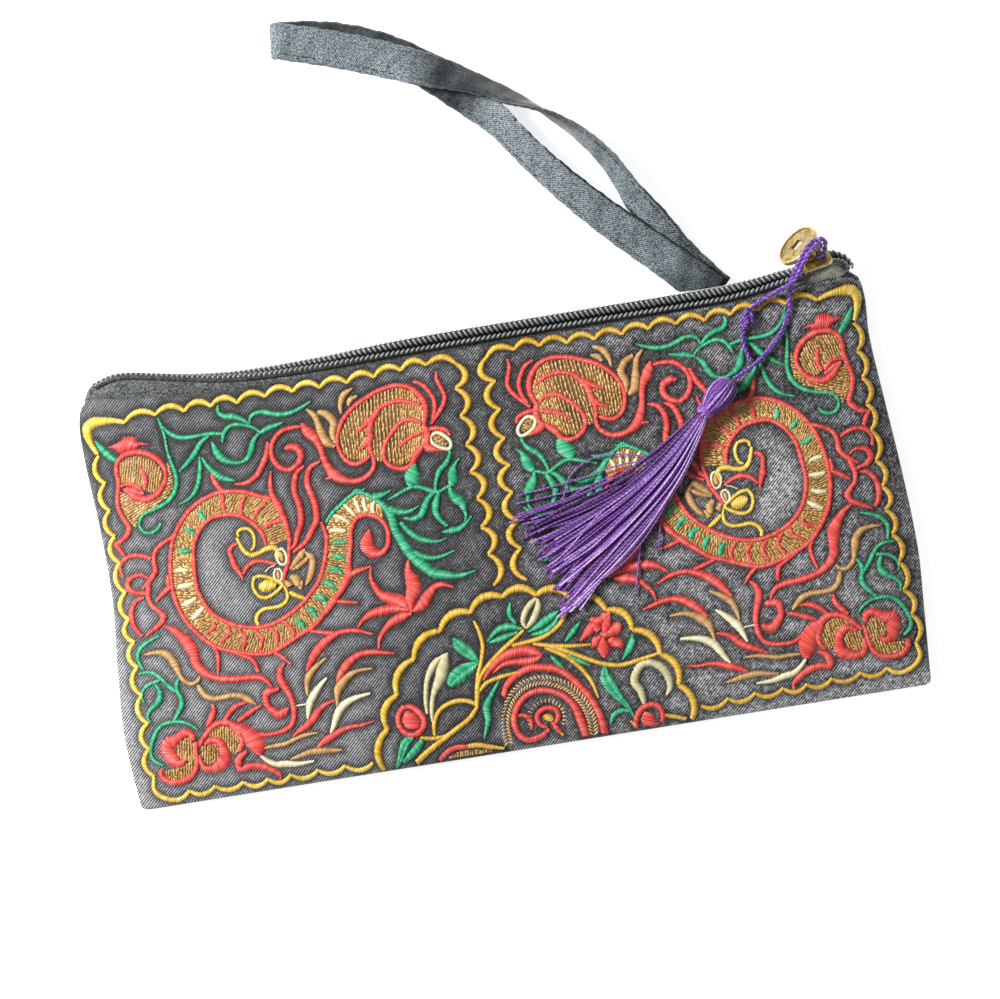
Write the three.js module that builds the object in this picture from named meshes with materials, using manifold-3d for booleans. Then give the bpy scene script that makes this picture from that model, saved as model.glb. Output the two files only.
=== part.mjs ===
// An embroidered zip pouch that lies on its back: two cloth panels, a coil zip along the top edge, a slider
// with a coin pull, a tassel on a hitched cord, and a wrist strap sewn in behind the zip.
// Millimetres. +X runs along the zip, +Y towards the zip, +Z up through the embroidered front.
// The origin is the middle of the back, on the surface that the pouch lies on.
import * as THREE from 'three';
import { mergeVertices } from 'three/addons/utils/BufferGeometryUtils.js';
import Module from 'manifold-3d';

const wasm = await Module();
wasm.setup();

// Driving dimensions
const fit = 0.3;                // gap kept between neighbouring pieces
const cloth = 1.2;              // thickness of a panel with its facing
const seamHeight = 2.4;         // height of the seam where front and back meet
const frontHeight = 7.6;        // height of the front's middle surface over the hollow
const frontReach = 9;           // distance from a seam over which the front rises
const backReach = 9;            // distance from a seam over which the back lifts off the table
const bottomEdge = -60.6;       // Y of the bottom fold
const cornerRadius = 3;         // rounding of the two bottom corners

const tape = 1.0;               // thickness of a zip tape
const tapeUnder = 0.5;          // gap between a tape and its row of teeth
const tapeTuckBack = 5;         // how far the rear tape runs inside the back panel
const hemGap = 0.8;             // between the front tape's sewn edge and the front's hem
const tapeGather = 0.955;       // length of a tape's sewn edge against its toothed edge
const tapeLead = 0.42;          // share of a tape's width that it bends over at most, at either edge
const coilWidth = 2.4;          // width of one row of zip teeth
const coilHeight = 1.6;         // height of one row of zip teeth
const coilOffset = 1.35;        // from the middle of the chain to the middle of a row
const neckSpread = 0.85;        // how far each row moves aside for the slider's neck
const neckReach = 3;            // length over which it does so

const plateLength = 9;          // slider plates
const plateWidth = 7;
const plateThickness = 0.9;
const neckLength = 2.2;
const neckWidth = 1.3;
const neckPlace = 2.8;          // the neck stands this far ahead of the slider's middle
const bailSpan = 3.0;           // half the distance between the feet of the bail
const bailRise = 3.8;
const bailRadius = 0.6;
const keeperLength = 5.5;       // the slider's lower plate, inside the pouch
const keeperWidth = 1.7;
const keeperSet = 0.7;          // the lower plate stands this far towards the rear row
const keeperGap = 0.4;          // between the tapes and the lower plate

const coinRadius = 6.6;
const coinThickness = 1.0;
const coinRim = 0.25;           // how far the rim stands above the field on each face
const coinRimWidth = 0.8;
const coinHole = 3.2;           // side of the square hole
const lugRadius = 1.5;          // middle radius of the coin's ring
const lugWire = 0.38;
const lugRise = 0.1;            // from the coin's rim to the ring's wire

const cordRadius = 0.7;
const strapWidth = 10.5;
const strapThickness = 1.4;
const strapCut = 60.35;         // Y where the strap meets the seam behind the zip

// Outline of the pouch, read straight from above
const leftRows = [
  { y: -61, x: -114.0 },
  { y: -40, x: -115.6 },
  { y: -20, x: -114.5 },
  { y: 0, x: -112.8 },
  { y: 20, x: -113.1 },
  { y: 40, x: -114.3 },
  { y: 50, x: -114.2 },
  { y: 58, x: -112.2 },
];
const rightRows = [
  { y: -61, x: 112.6 },
  { y: -40, x: 114.0 },
  { y: -22, x: 115.0 },
  { y: 0, x: 114.0 },
  { y: 20, x: 112.4 },
  { y: 40, x: 110.9 },
  { y: 50, x: 111.4 },
  { y: 58, x: 110.6 },
];
const frontTopRows = [
  { x: -116, y: 52.0 },
  { x: -111.3, y: 56.0 },
  { x: -108.8, y: 56.6 },
  { x: -103, y: 55.4 },
  { x: -90, y: 53.8 },
  { x: -80, y: 52.7 },
  { x: -60, y: 52.5 },
  { x: -20, y: 53.4 },
  { x: 0, y: 53.8 },
  { x: 70, y: 54.4 },
  { x: 85, y: 55.3 },
  { x: 95, y: 56.8 },
  { x: 106, y: 57.2 },
  { x: 112, y: 54.8 },
];
const backTopRows = [
  { x: -116, y: 53.0 },
  { x: -111, y: 57.8 },
  { x: -106, y: 60.0 },
  { x: -100, y: 60.8 },
  { x: -80, y: 58.8 },
  { x: -60, y: 57.8 },
  { x: -40, y: 58.2 },
  { x: 0, y: 59.2 },
  { x: 70, y: 59.3 },
  { x: 90, y: 60.6 },
  { x: 100, y: 62.0 },
  { x: 106, y: 61.0 },
  { x: 112, y: 56.0 },
];

// Soft swells and dents of the front between the stitched areas
const swells = [
  { x: -77, y: 2, reach: 13, height: 0.5 },
  { x: 77, y: 3, reach: 13, height: 0.5 },
  { x: -1, y: 20, reach: 12, height: -0.4 },
  { x: -58, y: 28, reach: 12, height: -0.35 },
  { x: 45, y: 30, reach: 12, height: -0.35 },
  { x: -1, y: -34, reach: 22, height: 0.35 },
];

// Middle line of the zip chain; tilt is how far it turns from facing up to facing out over the edge
const chainRows = [
  { x: -110.6, y: 58.4, z: 4.6, tilt: 86 },
  { x: -108.0, y: 60.4, z: 4.8, tilt: 88 },
  { x: -101, y: 62.0, z: 5.2, tilt: 90 },
  { x: -90, y: 60.3, z: 5.6, tilt: 88 },
  { x: -80, y: 58.5, z: 6.1, tilt: 77 },
  { x: -70, y: 57.1, z: 6.8, tilt: 65 },
  { x: -60, y: 56.5, z: 7.3, tilt: 53 },
  { x: -50, y: 56.4, z: 7.5, tilt: 45 },
  { x: -40, y: 56.5, z: 7.7, tilt: 38 },
  { x: -30, y: 56.8, z: 7.8, tilt: 25 },
  { x: -20, y: 57.0, z: 7.9, tilt: 12 },
  { x: 0, y: 57.2, z: 7.9, tilt: 10 },
  { x: 35, y: 57.3, z: 7.9, tilt: 10 },
  { x: 70, y: 57.4, z: 7.9, tilt: 10 },
  { x: 80, y: 58.2, z: 8.1, tilt: 16 },
  { x: 88, y: 59.3, z: 8.5, tilt: 28 },
  { x: 94, y: 60.2, z: 8.9, tilt: 38 },
  { x: 98.7, y: 61.65, z: 9.2, tilt: 40 },
  { x: 103, y: 62.9, z: 8.9, tilt: 44 },
  { x: 106.6, y: 61.8, z: 7.6, tilt: 50 },
  { x: 108.6, y: 59.2, z: 6.2, tilt: 56 },
];
const sliderPlace = { x: 98.7, y: 61.65, z: 9.2, heading: 18, tilt: 40 };

// The strap from its first end to its second, round the creased fold at its far end; heading is the way
// that its width points in plan, and roll turns that edge up
const strapRows = [
  { x: 71.0, y: 56.0, z: 3.9, heading: 46, roll: 4 },
  { x: 66.8, y: 61.0, z: 3.7, heading: 46, roll: 6 },
  { x: 62.0, y: 65.6, z: 3.4, heading: 46, roll: 10 },
  { x: 57.5, y: 70.3, z: 3.1, heading: 46, roll: 14 },
  { x: 48.5, y: 79.0, z: 2.8, heading: 46, roll: 21 },
  { x: 42.0, y: 85.4, z: 3.2, heading: 44, roll: 28 },
  { x: 33.6, y: 94.4, z: 3.7, heading: 41, roll: 35 },
  { x: 24.2, y: 105.8, z: 4.15, heading: 38, roll: 42 },
  { x: 16.8, y: 116.2, z: 4.05, heading: 39, roll: 40 },
  { x: 12.4, y: 121.6, z: 2.8, heading: 41, roll: 22 },
  { x: 8.0, y: 126.2, z: 1.4, heading: 43, roll: 6 },
  { x: -2.0, y: 135.0, z: 0.9, heading: 49, roll: 0 },
  { x: -13.0, y: 142.0, z: 0.9, heading: 60, roll: 0 },
  { x: -25.0, y: 146.8, z: 0.9, heading: 71, roll: 0 },
  { x: -36.0, y: 149.0, z: 0.9, heading: 80, roll: 0 },
  { x: -42.0, y: 149.4, z: 0.95, heading: 85, roll: 0 },
  { x: -43.1, y: 149.3, z: 1.9, heading: 85, roll: 0 },
  { x: -42.0, y: 149.1, z: 2.85, heading: 84, roll: 0 },
  { x: -30.0, y: 145.5, z: 2.8, heading: 73, roll: 0 },
  { x: -20.0, y: 142.0, z: 2.8, heading: 70, roll: 0 },
  { x: -10.0, y: 138.0, z: 3.1, heading: 67, roll: -5 },
  { x: 0.0, y: 133.6, z: 4.3, heading: 63, roll: -17 },
  { x: 10.0, y: 128.8, z: 5.1, heading: 60, roll: -43 },
  { x: 20.0, y: 123.0, z: 5.6, heading: 57, roll: -58 },
  { x: 29.4, y: 117.0, z: 6.2, heading: 52, roll: -84 },
  { x: 37.7, y: 110.2, z: 6.1, heading: 44, roll: -102 },
  { x: 45.6, y: 100.4, z: 5.8, heading: 36, roll: -112 },
  { x: 50.8, y: 90.0, z: 5.3, heading: 32, roll: -125 },
  { x: 55.4, y: 81.9, z: 4.2, heading: 36, roll: -142 },
  { x: 60.9, y: 71.8, z: 2.4, heading: 41, roll: -165 },
  { x: 66.5, y: 64.2, z: 1.6, heading: 45, roll: -174 },
  { x: 72.5, y: 57.0, z: 1.2, heading: 46, roll: -178 },
];

// The tassel: its head lies along a line, and the skirt fans out from the neck
const headTop = { x: 69.6, y: 32.9, z: 12.8 };
const headNeck = { x: 60.4, y: 24.9, z: 11.8 };
const headRows = [
  { along: 0.0, radius: 0 },
  { along: 0.0, radius: 1.6 },
  { along: 0.1, radius: 2.9 },
  { along: 0.3, radius: 3.8 },
  { along: 0.55, radius: 3.8 },
  { along: 0.78, radius: 3.0 },
  { along: 0.86, radius: 2.3 },
  { along: 0.96, radius: 2.3 },
  { along: 1.0, radius: 2.0 },
  { along: 1.0, radius: 0 },
];
const skirtFloor = 8.9;         // underside of the skirt, on the front
const skirtRows = [
  { x: 59.9, y: 24.4, half: 2.3, thick: 4.6, lift: 0.5 },
  { x: 55.5, y: 19.6, half: 4.0, thick: 4.4, lift: 0.2 },
  { x: 48.0, y: 12.2, half: 6.4, thick: 4.0, lift: 0 },
  { x: 38.0, y: 4.6, half: 9.0, thick: 3.5, lift: 0 },
  { x: 26.0, y: -2.4, half: 11.6, thick: 3.0, lift: 0 },
  { x: 14.0, y: -8.2, half: 14.6, thick: 2.4, lift: 0 },
  { x: 9.0, y: -10.6, half: 15.4, thick: 1.8, lift: 0 },
];

// The cord: one strand runs from the bail to the tassel, the other to a knot and then to the first strand
const strandRoute = [
  { x: 98.9, y: 67.9, z: 15.6 },
  { x: 97.4, y: 67.4, z: 16.1 },
  { x: 95.9, y: 66.1, z: 16.0 },
  { x: 94.1, y: 63.6, z: 14.4 },
  { x: 92.5, y: 61.2, z: 12.9 },
  { x: 91.1, y: 59.0, z: 12.1 },
  { x: 90.2, y: 56.6, z: 10.9 },
  { x: 89.9, y: 54.0, z: 9.3 },
  { x: 89.0, y: 50.0, z: 9.1 },
  { x: 87.0, y: 46.0, z: 9.2 },
  { x: 84.0, y: 42.0, z: 9.3 },
  { x: 80.2, y: 38.7, z: 9.6 },
  { x: 76.0, y: 35.9, z: 10.6 },
  { x: 72.6, y: 34.2, z: 11.8 },
  { x: 70.3, y: 33.3, z: 12.6 },
];
const loopRoute = [
  { x: 98.6, y: 66.3, z: 16.5 },
  { x: 97.2, y: 65.4, z: 16.9 },
  { x: 95.9, y: 64.0, z: 16.4 },
  { x: 94.3, y: 61.9, z: 15.1 },
  { x: 92.8, y: 59.7, z: 14.0 },
  { x: 91.1, y: 57.6, z: 13.1 },
  { x: 89.0, y: 56.6, z: 12.7 },
  { x: 86.6, y: 55.9, z: 11.5 },
  { x: 83.0, y: 54.4, z: 9.7 },
  { x: 80.8, y: 53.3, z: 9.2 },
  { x: 79.0, y: 52.5, z: 9.6 },
];
const tailRoute = [
  { x: 75.6, y: 47.0, z: 9.6 },
  { x: 75.0, y: 44.6, z: 9.2 },
  { x: 75.1, y: 41.8, z: 9.2 },
  { x: 75.6, y: 39.2, z: 9.6 },
  { x: 76.1, y: 37.7, z: 10.2 },
];
const knotPlace = { x: 77.1, y: 49.7, z: 10.3, heading: 62, length: 5.6, width: 3.6, height: 3.0 };

const degrees = THREE.MathUtils.degToRad;
const mix = THREE.MathUtils.lerp;

// Smooth curve through a table: the value column as a function of the key column
function through(rows, key, value) {
  const slope = (k) => {
    const before = rows[Math.max(k - 1, 0)];
    const after = rows[Math.min(k + 1, rows.length - 1)];
    return (after[value] - before[value]) / (after[key] - before[key]);
  };
  return (at) => {
    const found = rows.findIndex((row, k) => k > 0 && at <= row[key]);
    const k = found < 0 ? rows.length - 2 : found - 1;
    const span = rows[k + 1][key] - rows[k][key];
    const t = THREE.MathUtils.clamp((at - rows[k][key]) / span, 0, 1);
    const u = 1 - t;
    const ends = (1 + 2 * t) * u * u * rows[k][value] + (3 - 2 * t) * t * t * rows[k + 1][value];
    return ends + span * t * u * (u * slope(k) - t * slope(k + 1));
  };
}

// The same along a table's own order, for a place from 0 at its first row to 1 at its last
function alongRows(rows, value) {
  const numbered = rows.map((row, place) => ({ place, value: row[value] }));
  const curve = through(numbered, 'place', 'value');
  return (t) => curve(t * (rows.length - 1));
}

function point({ x, y, z }) {
  return new THREE.Vector3(x, y, z);
}

// A closed mesh from corner points and triangles, with its faces turned outwards
function closedMesh(corners, triangles) {
  let volume = 0;
  for (let i = 0; i < triangles.length; i += 3) {
    const [a, b, c] = [0, 1, 2].map((k) => corners[triangles[i + k]]);
    volume += a.dot(b.clone().cross(c));
  }
  const facing = volume > 0 ? triangles : triangles.slice().reverse();
  const geometry = new THREE.BufferGeometry().setFromPoints(corners);
  geometry.setIndex(facing);
  geometry.computeVertexNormals();
  return geometry;
}

// A thin solid between two grids of points: over[row][column] and under[row][column]
function sheetSolid(over, under) {
  const rows = over.length;
  const columns = over[0].length;
  const corners = [...over.flat(), ...under.flat()];
  const at = (side, r, c) => (side * rows + r) * columns + c;
  const triangles = [];
  const quad = (a, b, c, d) => triangles.push(a, b, c, a, c, d);
  for (let r = 0; r + 1 < rows; r += 1) {
    for (let c = 0; c + 1 < columns; c += 1) {
      quad(at(0, r, c), at(0, r, c + 1), at(0, r + 1, c + 1), at(0, r + 1, c));
      quad(at(1, r, c), at(1, r + 1, c), at(1, r + 1, c + 1), at(1, r, c + 1));
    }
    quad(at(0, r, 0), at(0, r + 1, 0), at(1, r + 1, 0), at(1, r, 0));
    const end = columns - 1;
    quad(at(0, r, end), at(1, r, end), at(1, r + 1, end), at(0, r + 1, end));
  }
  for (let c = 0; c + 1 < columns; c += 1) {
    quad(at(0, 0, c), at(1, 0, c), at(1, 0, c + 1), at(0, 0, c + 1));
    const end = rows - 1;
    quad(at(0, end, c), at(0, end, c + 1), at(1, end, c + 1), at(1, end, c));
  }
  return closedMesh(corners, triangles);
}

// A solid through rings of points that all have the same count, closed by a fan at each end
function ringSolid(rings) {
  const count = rings[0].length;
  const corners = rings.flat();
  const triangles = [];
  for (let r = 0; r + 1 < rings.length; r += 1) {
    for (let k = 0; k < count; k += 1) {
      const next = (k + 1) % count;
      const [a, b] = [r * count + k, r * count + next];
      triangles.push(a, b, b + count, a, b + count, a + count);
    }
  }
  const last = (rings.length - 1) * count;
  for (let k = 1; k + 1 < count; k += 1) {
    triangles.push(0, k + 1, k);
    triangles.push(last, last + k, last + k + 1);
  }
  return closedMesh(corners, triangles);
}

// A round tube along a route
function tubeSolid(route, radius, sides, steps) {
  const section = new THREE.Shape();
  for (let k = 0; k < sides; k += 1) {
    const angle = (2 * Math.PI * k) / sides;
    const corner = [radius * Math.cos(angle), radius * Math.sin(angle)];
    if (k === 0) section.moveTo(...corner);
    else section.lineTo(...corner);
  }
  section.closePath();
  const extrudePath = new THREE.CatmullRomCurve3(route.map(point), false, 'centripetal');
  return new THREE.ExtrudeGeometry(section, { steps, extrudePath, bevelEnabled: false });
}

// Joins and cuts
function toSolid(geometry) {
  const bare = geometry.clone();
  for (const name of Object.keys(bare.attributes)) {
    if (name !== 'position') bare.deleteAttribute(name);
  }
  const merged = mergeVertices(bare, 1e-4);
  return new wasm.Manifold(new wasm.Mesh({
    numProp: 3,
    vertProperties: new Float32Array(merged.attributes.position.array),
    triVerts: new Uint32Array(merged.index.array),
  }));
}

function toGeometry(solid) {
  const { vertProperties, triVerts } = solid.getMesh();
  const geometry = new THREE.BufferGeometry();
  geometry.setAttribute('position', new THREE.BufferAttribute(new Float32Array(vertProperties), 3));
  geometry.setIndex(new THREE.BufferAttribute(new Uint32Array(triVerts), 1));
  geometry.computeVertexNormals();
  return geometry;
}

function joined(pieces) {
  return toGeometry(pieces.map(toSolid).reduce((all, piece) => all.add(piece)));
}

function cut(piece, tool) {
  return toGeometry(toSolid(piece).subtract(toSolid(tool)));
}

// The two panels
const leftEdge = through(leftRows, 'y', 'x');
const rightEdge = through(rightRows, 'y', 'x');
const frontTop = through(frontTopRows, 'x', 'y');
const backTop = through(backTopRows, 'x', 'y');

function cornerInset(y) {
  const into = Math.max(cornerRadius - (y - bottomEdge), 0);
  return cornerRadius - Math.sqrt(Math.max(cornerRadius ** 2 - into ** 2, 0));
}

function panelPlan(across, up, topEdge) {
  const level = mix(leftEdge(50), rightEdge(50), across);
  const y = mix(bottomEdge, topEdge(level), up);
  const x = mix(leftEdge(y) + cornerInset(y), rightEdge(y) - cornerInset(y), across);
  return { x, y };
}

function frontSurface(x, y) {
  const lift = (inside) => 1 - Math.exp(-Math.max(inside, 0) / frontReach);
  const rise = lift(x - leftEdge(y)) * lift(rightEdge(y) - x) * lift(y - bottomEdge);
  const edge = seamHeight + fit / 2 + cloth / 2;
  const swell = swells.reduce((sum, dent) => {
    const away = ((x - dent.x) ** 2 + (y - dent.y) ** 2) / dent.reach ** 2;
    return sum + dent.height * Math.exp(-away);
  }, 0);
  return edge + (frontHeight - edge + swell) * rise;
}

function backSurface(x, y) {
  const flat = (inside) => THREE.MathUtils.smoothstep(inside, 0, backReach);
  const rest = flat(x - leftEdge(y)) * flat(rightEdge(y) - x) * flat(y - bottomEdge);
  const edge = seamHeight - fit / 2 - cloth / 2;
  return mix(edge, cloth / 2, rest);
}

// Steps from 0 to 1 that are finer at both ends
function steps(count) {
  return Array.from({ length: count + 1 }, (_, k) => {
    const even = k / count;
    return mix(even, (1 - Math.cos(Math.PI * even)) / 2, 0.65);
  });
}

function panelSolid(topEdge, surface) {
  const grid = (offset) => steps(14).map((up) => steps(28).map((across) => {
    const { x, y } = panelPlan(across, up, topEdge);
    return new THREE.Vector3(x, y, surface(x, y) + offset);
  }));
  return sheetSolid(grid(cloth / 2), grid(-cloth / 2));
}

// The zip
const chainCurve = new THREE.CatmullRomCurve3(chainRows.map(point), false, 'centripetal');
const chainTilt = alongRows(chainRows, 'tilt');

// Directions for a heading in plan and a tilt: along the chain, out of its face, and across to its rear row
function chainDirections(heading, tilt) {
  const out = new THREE.Vector3(-Math.sin(heading), Math.cos(heading), 0);
  const up = new THREE.Vector3(0, 0, 1);
  const face = up.clone().multiplyScalar(Math.cos(tilt)).addScaledVector(out, Math.sin(tilt));
  const across = out.clone().multiplyScalar(Math.cos(tilt)).addScaledVector(up, -Math.sin(tilt));
  return { out, face, across };
}

function chainAt(t) {
  const middle = chainCurve.getPoint(t);
  const tangent = chainCurve.getTangent(t);
  const heading = Math.atan2(tangent.y, tangent.x);
  const fromNeck = middle.x - sliderPlace.x - neckPlace;
  const spread = neckSpread * Math.exp(-((fromNeck / neckReach) ** 2));
  return { middle, spread, ...chainDirections(heading, degrees(chainTilt(t))) };
}

const tapeDepth = coilHeight / 2 + tapeUnder + tape / 2;
const chainSteps = 48;
const chainStations = Array.from({ length: chainSteps + 1 }, (_, k) => chainAt(k / chainSteps));

// One row of teeth; side is -1 for the front row and +1 for the rear one
function coilSolid(side) {
  const sides = 8;
  return ringSolid(chainStations.map(({ middle, spread, face, across }) => {
    const heart = middle.clone().addScaledVector(across, side * (coilOffset + spread));
    return Array.from({ length: sides }, (_, k) => {
      const angle = (2 * Math.PI * (k + 0.5)) / sides;
      return heart.clone()
        .addScaledVector(across, (coilWidth / 2) * Math.cos(angle))
        .addScaledVector(face, (coilHeight / 2) * Math.sin(angle));
    });
  }));
}

// One tape, from under its row of teeth to the panel that it is sewn to
function tapeSolid(side, sewnAt, longestLead, arriving) {
  const lowest = 2.6 * cloth;
  const count = 7;
  const over = [];
  const under = [];
  for (const station of chainStations) {
    const { middle, spread, out, face, across } = station;
    const start = middle.clone().addScaledVector(face, -tapeDepth);
    start.addScaledVector(across, side * (fit * 0.7 + spread));
    const end = sewnAt(station);
    const drop = Math.max(-side * across.z, 0.05);
    const apart = start.distanceTo(end);
    const leaving = Math.min(longestLead, (start.z - lowest) / drop, apart * tapeLead);
    const landing = Math.min(arriving, apart * tapeLead);
    const bend = new THREE.CubicBezierCurve3(
      start,
      start.clone().addScaledVector(across, side * leaving),
      end.clone().addScaledVector(out, landing),
      end,
    );
    const along = out.clone().cross(new THREE.Vector3(0, 0, 1));
    const shell = (offset) => Array.from({ length: count + 1 }, (_, k) => {
      const normal = along.clone().cross(bend.getTangent(k / count)).normalize();
      return bend.getPoint(k / count).addScaledVector(normal, offset);
    });
    over.push(shell(tape / 2));
    under.push(shell(-tape / 2));
  }
  return sheetSolid(over, under);
}

// The front tape meets the edge of the front's hem, and stays under the teeth where they lie close to it
function atFrontHem({ middle, across }) {
  const x = middle.x * tapeGather;
  const y = frontTop(x);
  const room = Math.max(middle.y - y - 4, 0) / 2;
  const underTeeth = middle.z - coilOffset * across.z - tapeDepth + room;
  return new THREE.Vector3(x, y + hemGap, Math.min(frontSurface(x, y), underTeeth));
}

// The rear tape lies on the inner face of the back
function insideBack({ middle }) {
  const x = middle.x * tapeGather;
  const y = backTop(x) - tapeTuckBack;
  return new THREE.Vector3(x, y, backSurface(x, y) + cloth / 2 + 2 * fit + tape / 2);
}

// The slider is built lying flat, x along the chain and z out of its face, and then set on the chain
function plateSolid(low, length, width) {
  const half = length / 2;
  const wide = width / 2;
  const plan = new THREE.Shape();
  plan.moveTo(-half, -wide * 0.62);
  plan.lineTo(-half * 0.4, -wide * 0.78);
  plan.lineTo(half * 0.55, -wide);
  plan.quadraticCurveTo(half, -wide, half, -wide * 0.45);
  plan.lineTo(half, wide * 0.45);
  plan.quadraticCurveTo(half, wide, half * 0.55, wide);
  plan.lineTo(-half * 0.4, wide * 0.78);
  plan.lineTo(-half, wide * 0.62);
  plan.closePath();
  const geometry = new THREE.ExtrudeGeometry(plan, {
    depth: plateThickness,
    bevelEnabled: false,
    curveSegments: 4,
  });
  return geometry.translate(0, 0, low);
}

const plateTop = coilHeight / 2 + fit + plateThickness;
const plateBelow = -(coilHeight / 2 + tapeUnder + tape + keeperGap);
const bailFoot = 0.5;           // depth of the bail's feet in the plate

function bailPoint(angle) {
  const rise = (bailRise + bailFoot) * Math.sin(angle) - bailFoot;
  return { x: bailSpan * Math.cos(angle), y: 0, z: plateTop + rise };
}

function bailSolid() {
  const route = Array.from({ length: 9 }, (_, k) => bailPoint(Math.PI * (1 - k / 8)));
  return tubeSolid(route, bailRadius, 10, 20);
}

function sliderSolid() {
  const neckLow = plateBelow - plateThickness / 2;
  const neckHigh = plateTop - plateThickness / 2;
  const neck = new THREE.BoxGeometry(neckLength, neckWidth, neckHigh - neckLow);
  neck.translate(neckPlace, 0, (neckHigh + neckLow) / 2);
  return joined([
    plateSolid(plateTop - plateThickness, plateLength, plateWidth),
    plateSolid(plateBelow - plateThickness, keeperLength, keeperWidth).translate(0, keeperSet, 0),
    neck,
    bailSolid(),
  ]);
}

const sliderTurn = chainDirections(degrees(sliderPlace.heading), degrees(sliderPlace.tilt));
const sliderAlong = sliderTurn.across.clone().cross(sliderTurn.face);

function onSlider(along, across, out) {
  return point(sliderPlace)
    .addScaledVector(sliderAlong, along)
    .addScaledVector(sliderTurn.across, across)
    .addScaledVector(sliderTurn.face, out);
}

// The coin hangs by its ring from the bail, over the pouch's edge, with its lower rim on the table
const coinLong = 42.6;          // direction of the coin's level diameter in plan
const coinLean = 63.5;          // angle between the coin and the table
const coinPivot = onSlider(-0.3, 0, plateTop + bailRise);
const coinLevel = new THREE.Vector3(Math.cos(degrees(coinLong)), Math.sin(degrees(coinLong)), 0);
const coinInward = new THREE.Vector3(Math.sin(degrees(coinLong)), -Math.cos(degrees(coinLong)), 0);
const coinUp = coinInward.clone().multiplyScalar(Math.cos(degrees(coinLean)));
coinUp.z = Math.sin(degrees(coinLean));
const lugCentre = coinRadius + lugRadius + lugRise;

// Built flat, with its face along z and its ring towards +y
function coinSolid() {
  const half = coinThickness / 2;
  const tall = half + coinRim;
  const profile = [
    [0, -half],
    [coinRadius - coinRimWidth, -half],
    [coinRadius - coinRimWidth, -tall],
    [coinRadius - 0.15, -tall],
    [coinRadius, -tall + 0.15],
    [coinRadius, tall - 0.15],
    [coinRadius - 0.15, tall],
    [coinRadius - coinRimWidth, tall],
    [coinRadius - coinRimWidth, half],
    [0, half],
  ].map(([r, h]) => new THREE.Vector2(r, h));
  const disc = new THREE.LatheGeometry(profile, 28).rotateX(Math.PI / 2);
  const lug = new THREE.TorusGeometry(lugRadius, lugWire, 8, 16).rotateY(Math.PI / 2);
  lug.translate(0, lugCentre, 0);
  const hole = new THREE.BoxGeometry(coinHole, coinHole, 4 * tall);
  return cut(joined([disc, lug]), hole);
}

// The strap is a flat band swept along its table, cut off level where it meets the zip's rear seam
function strapSolid() {
  const path = new THREE.CatmullRomCurve3(strapRows.map(point), false, 'centripetal');
  const heading = alongRows(strapRows, 'heading');
  const roll = alongRows(strapRows, 'roll');
  const count = 3 * (strapRows.length - 1);
  const rings = Array.from({ length: count + 1 }, (_, k) => {
    const t = k / count;
    const plan = degrees(heading(t));
    const turn = degrees(roll(t));
    const level = new THREE.Vector3(Math.cos(plan), Math.sin(plan), 0).multiplyScalar(Math.cos(turn));
    const width = level.setZ(Math.sin(turn));
    const flat = path.getTangent(t).cross(width).normalize();
    const centre = path.getPoint(t);
    return [[-1, -1], [1, -1], [1, 1], [-1, 1]].map(([side, face]) => centre.clone()
      .addScaledVector(width, (side * strapWidth) / 2)
      .addScaledVector(flat, (face * strapThickness) / 2));
  });
  const inside = new THREE.BoxGeometry(60, 40, 40).translate(70, strapCut - 20, 0);
  return cut(ringSolid(rings), inside);
}

// The tassel and its cord
function headSolid() {
  const axis = point(headNeck).sub(point(headTop));
  const profile = headRows.map(({ along, radius }) => new THREE.Vector2(radius, -along * axis.length()));
  const geometry = new THREE.LatheGeometry(profile.reverse(), 16);
  const down = new THREE.Vector3(0, -1, 0);
  const turn = new THREE.Quaternion().setFromUnitVectors(down, axis.clone().normalize());
  return geometry.applyQuaternion(turn).translate(headTop.x, headTop.y, headTop.z);
}

function skirtSolid() {
  const sides = 14;
  const count = 18;
  const column = (name) => alongRows(skirtRows, name);
  const [x, y, half, thick, lift] = ['x', 'y', 'half', 'thick', 'lift'].map(column);
  return ringSolid(Array.from({ length: count + 1 }, (_, k) => {
    const t = k / count;
    const ahead = new THREE.Vector2(x(t + 0.01) - x(t - 0.01), y(t + 0.01) - y(t - 0.01)).normalize();
    return Array.from({ length: sides }, (_, s) => {
      const angle = (2 * Math.PI * (s + 0.5)) / sides;
      const aside = half(t) * Math.cos(angle);
      const height = skirtFloor + lift(t) + (thick(t) / 2) * (1 + Math.sin(angle));
      return new THREE.Vector3(x(t) - ahead.y * aside, y(t) + ahead.x * aside, height);
    });
  }));
}

function knotSolid() {
  const { x, y, z, heading, length, width, height } = knotPlace;
  const geometry = new THREE.SphereGeometry(0.5, 12, 8).scale(length, width, height);
  return geometry.rotateZ(degrees(heading)).translate(x, y, z);
}

// The hitch is a turn of cord round the bail's right shoulder
function hitchSolid() {
  const reach = bailRadius + fit + cordRadius;
  const shoulder = degrees(40);
  const heart = bailPoint(shoulder);
  const lean = new THREE.Vector2(
    (bailRise + bailFoot) * Math.cos(shoulder),
    bailSpan * Math.sin(shoulder),
  ).normalize();
  const route = Array.from({ length: 9 }, (_, k) => {
    const angle = degrees(mix(-45, 105, k / 8));
    const rise = reach * Math.sin(angle);
    return onSlider(heart.x + lean.x * rise, -reach * Math.cos(angle), heart.z + lean.y * rise);
  });
  return tubeSolid(route, cordRadius, 8, 12);
}

// Finishes
function finish(color, roughness, metalness) {
  return new THREE.MeshStandardMaterial({ color, roughness, metalness });
}

const satin = '#3c3b3c';
const nylon = '#35393b';
const brass = '#b49a5c';
const violet = '#5c3aa0';
const strapSatin = '#5e666c';

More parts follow.
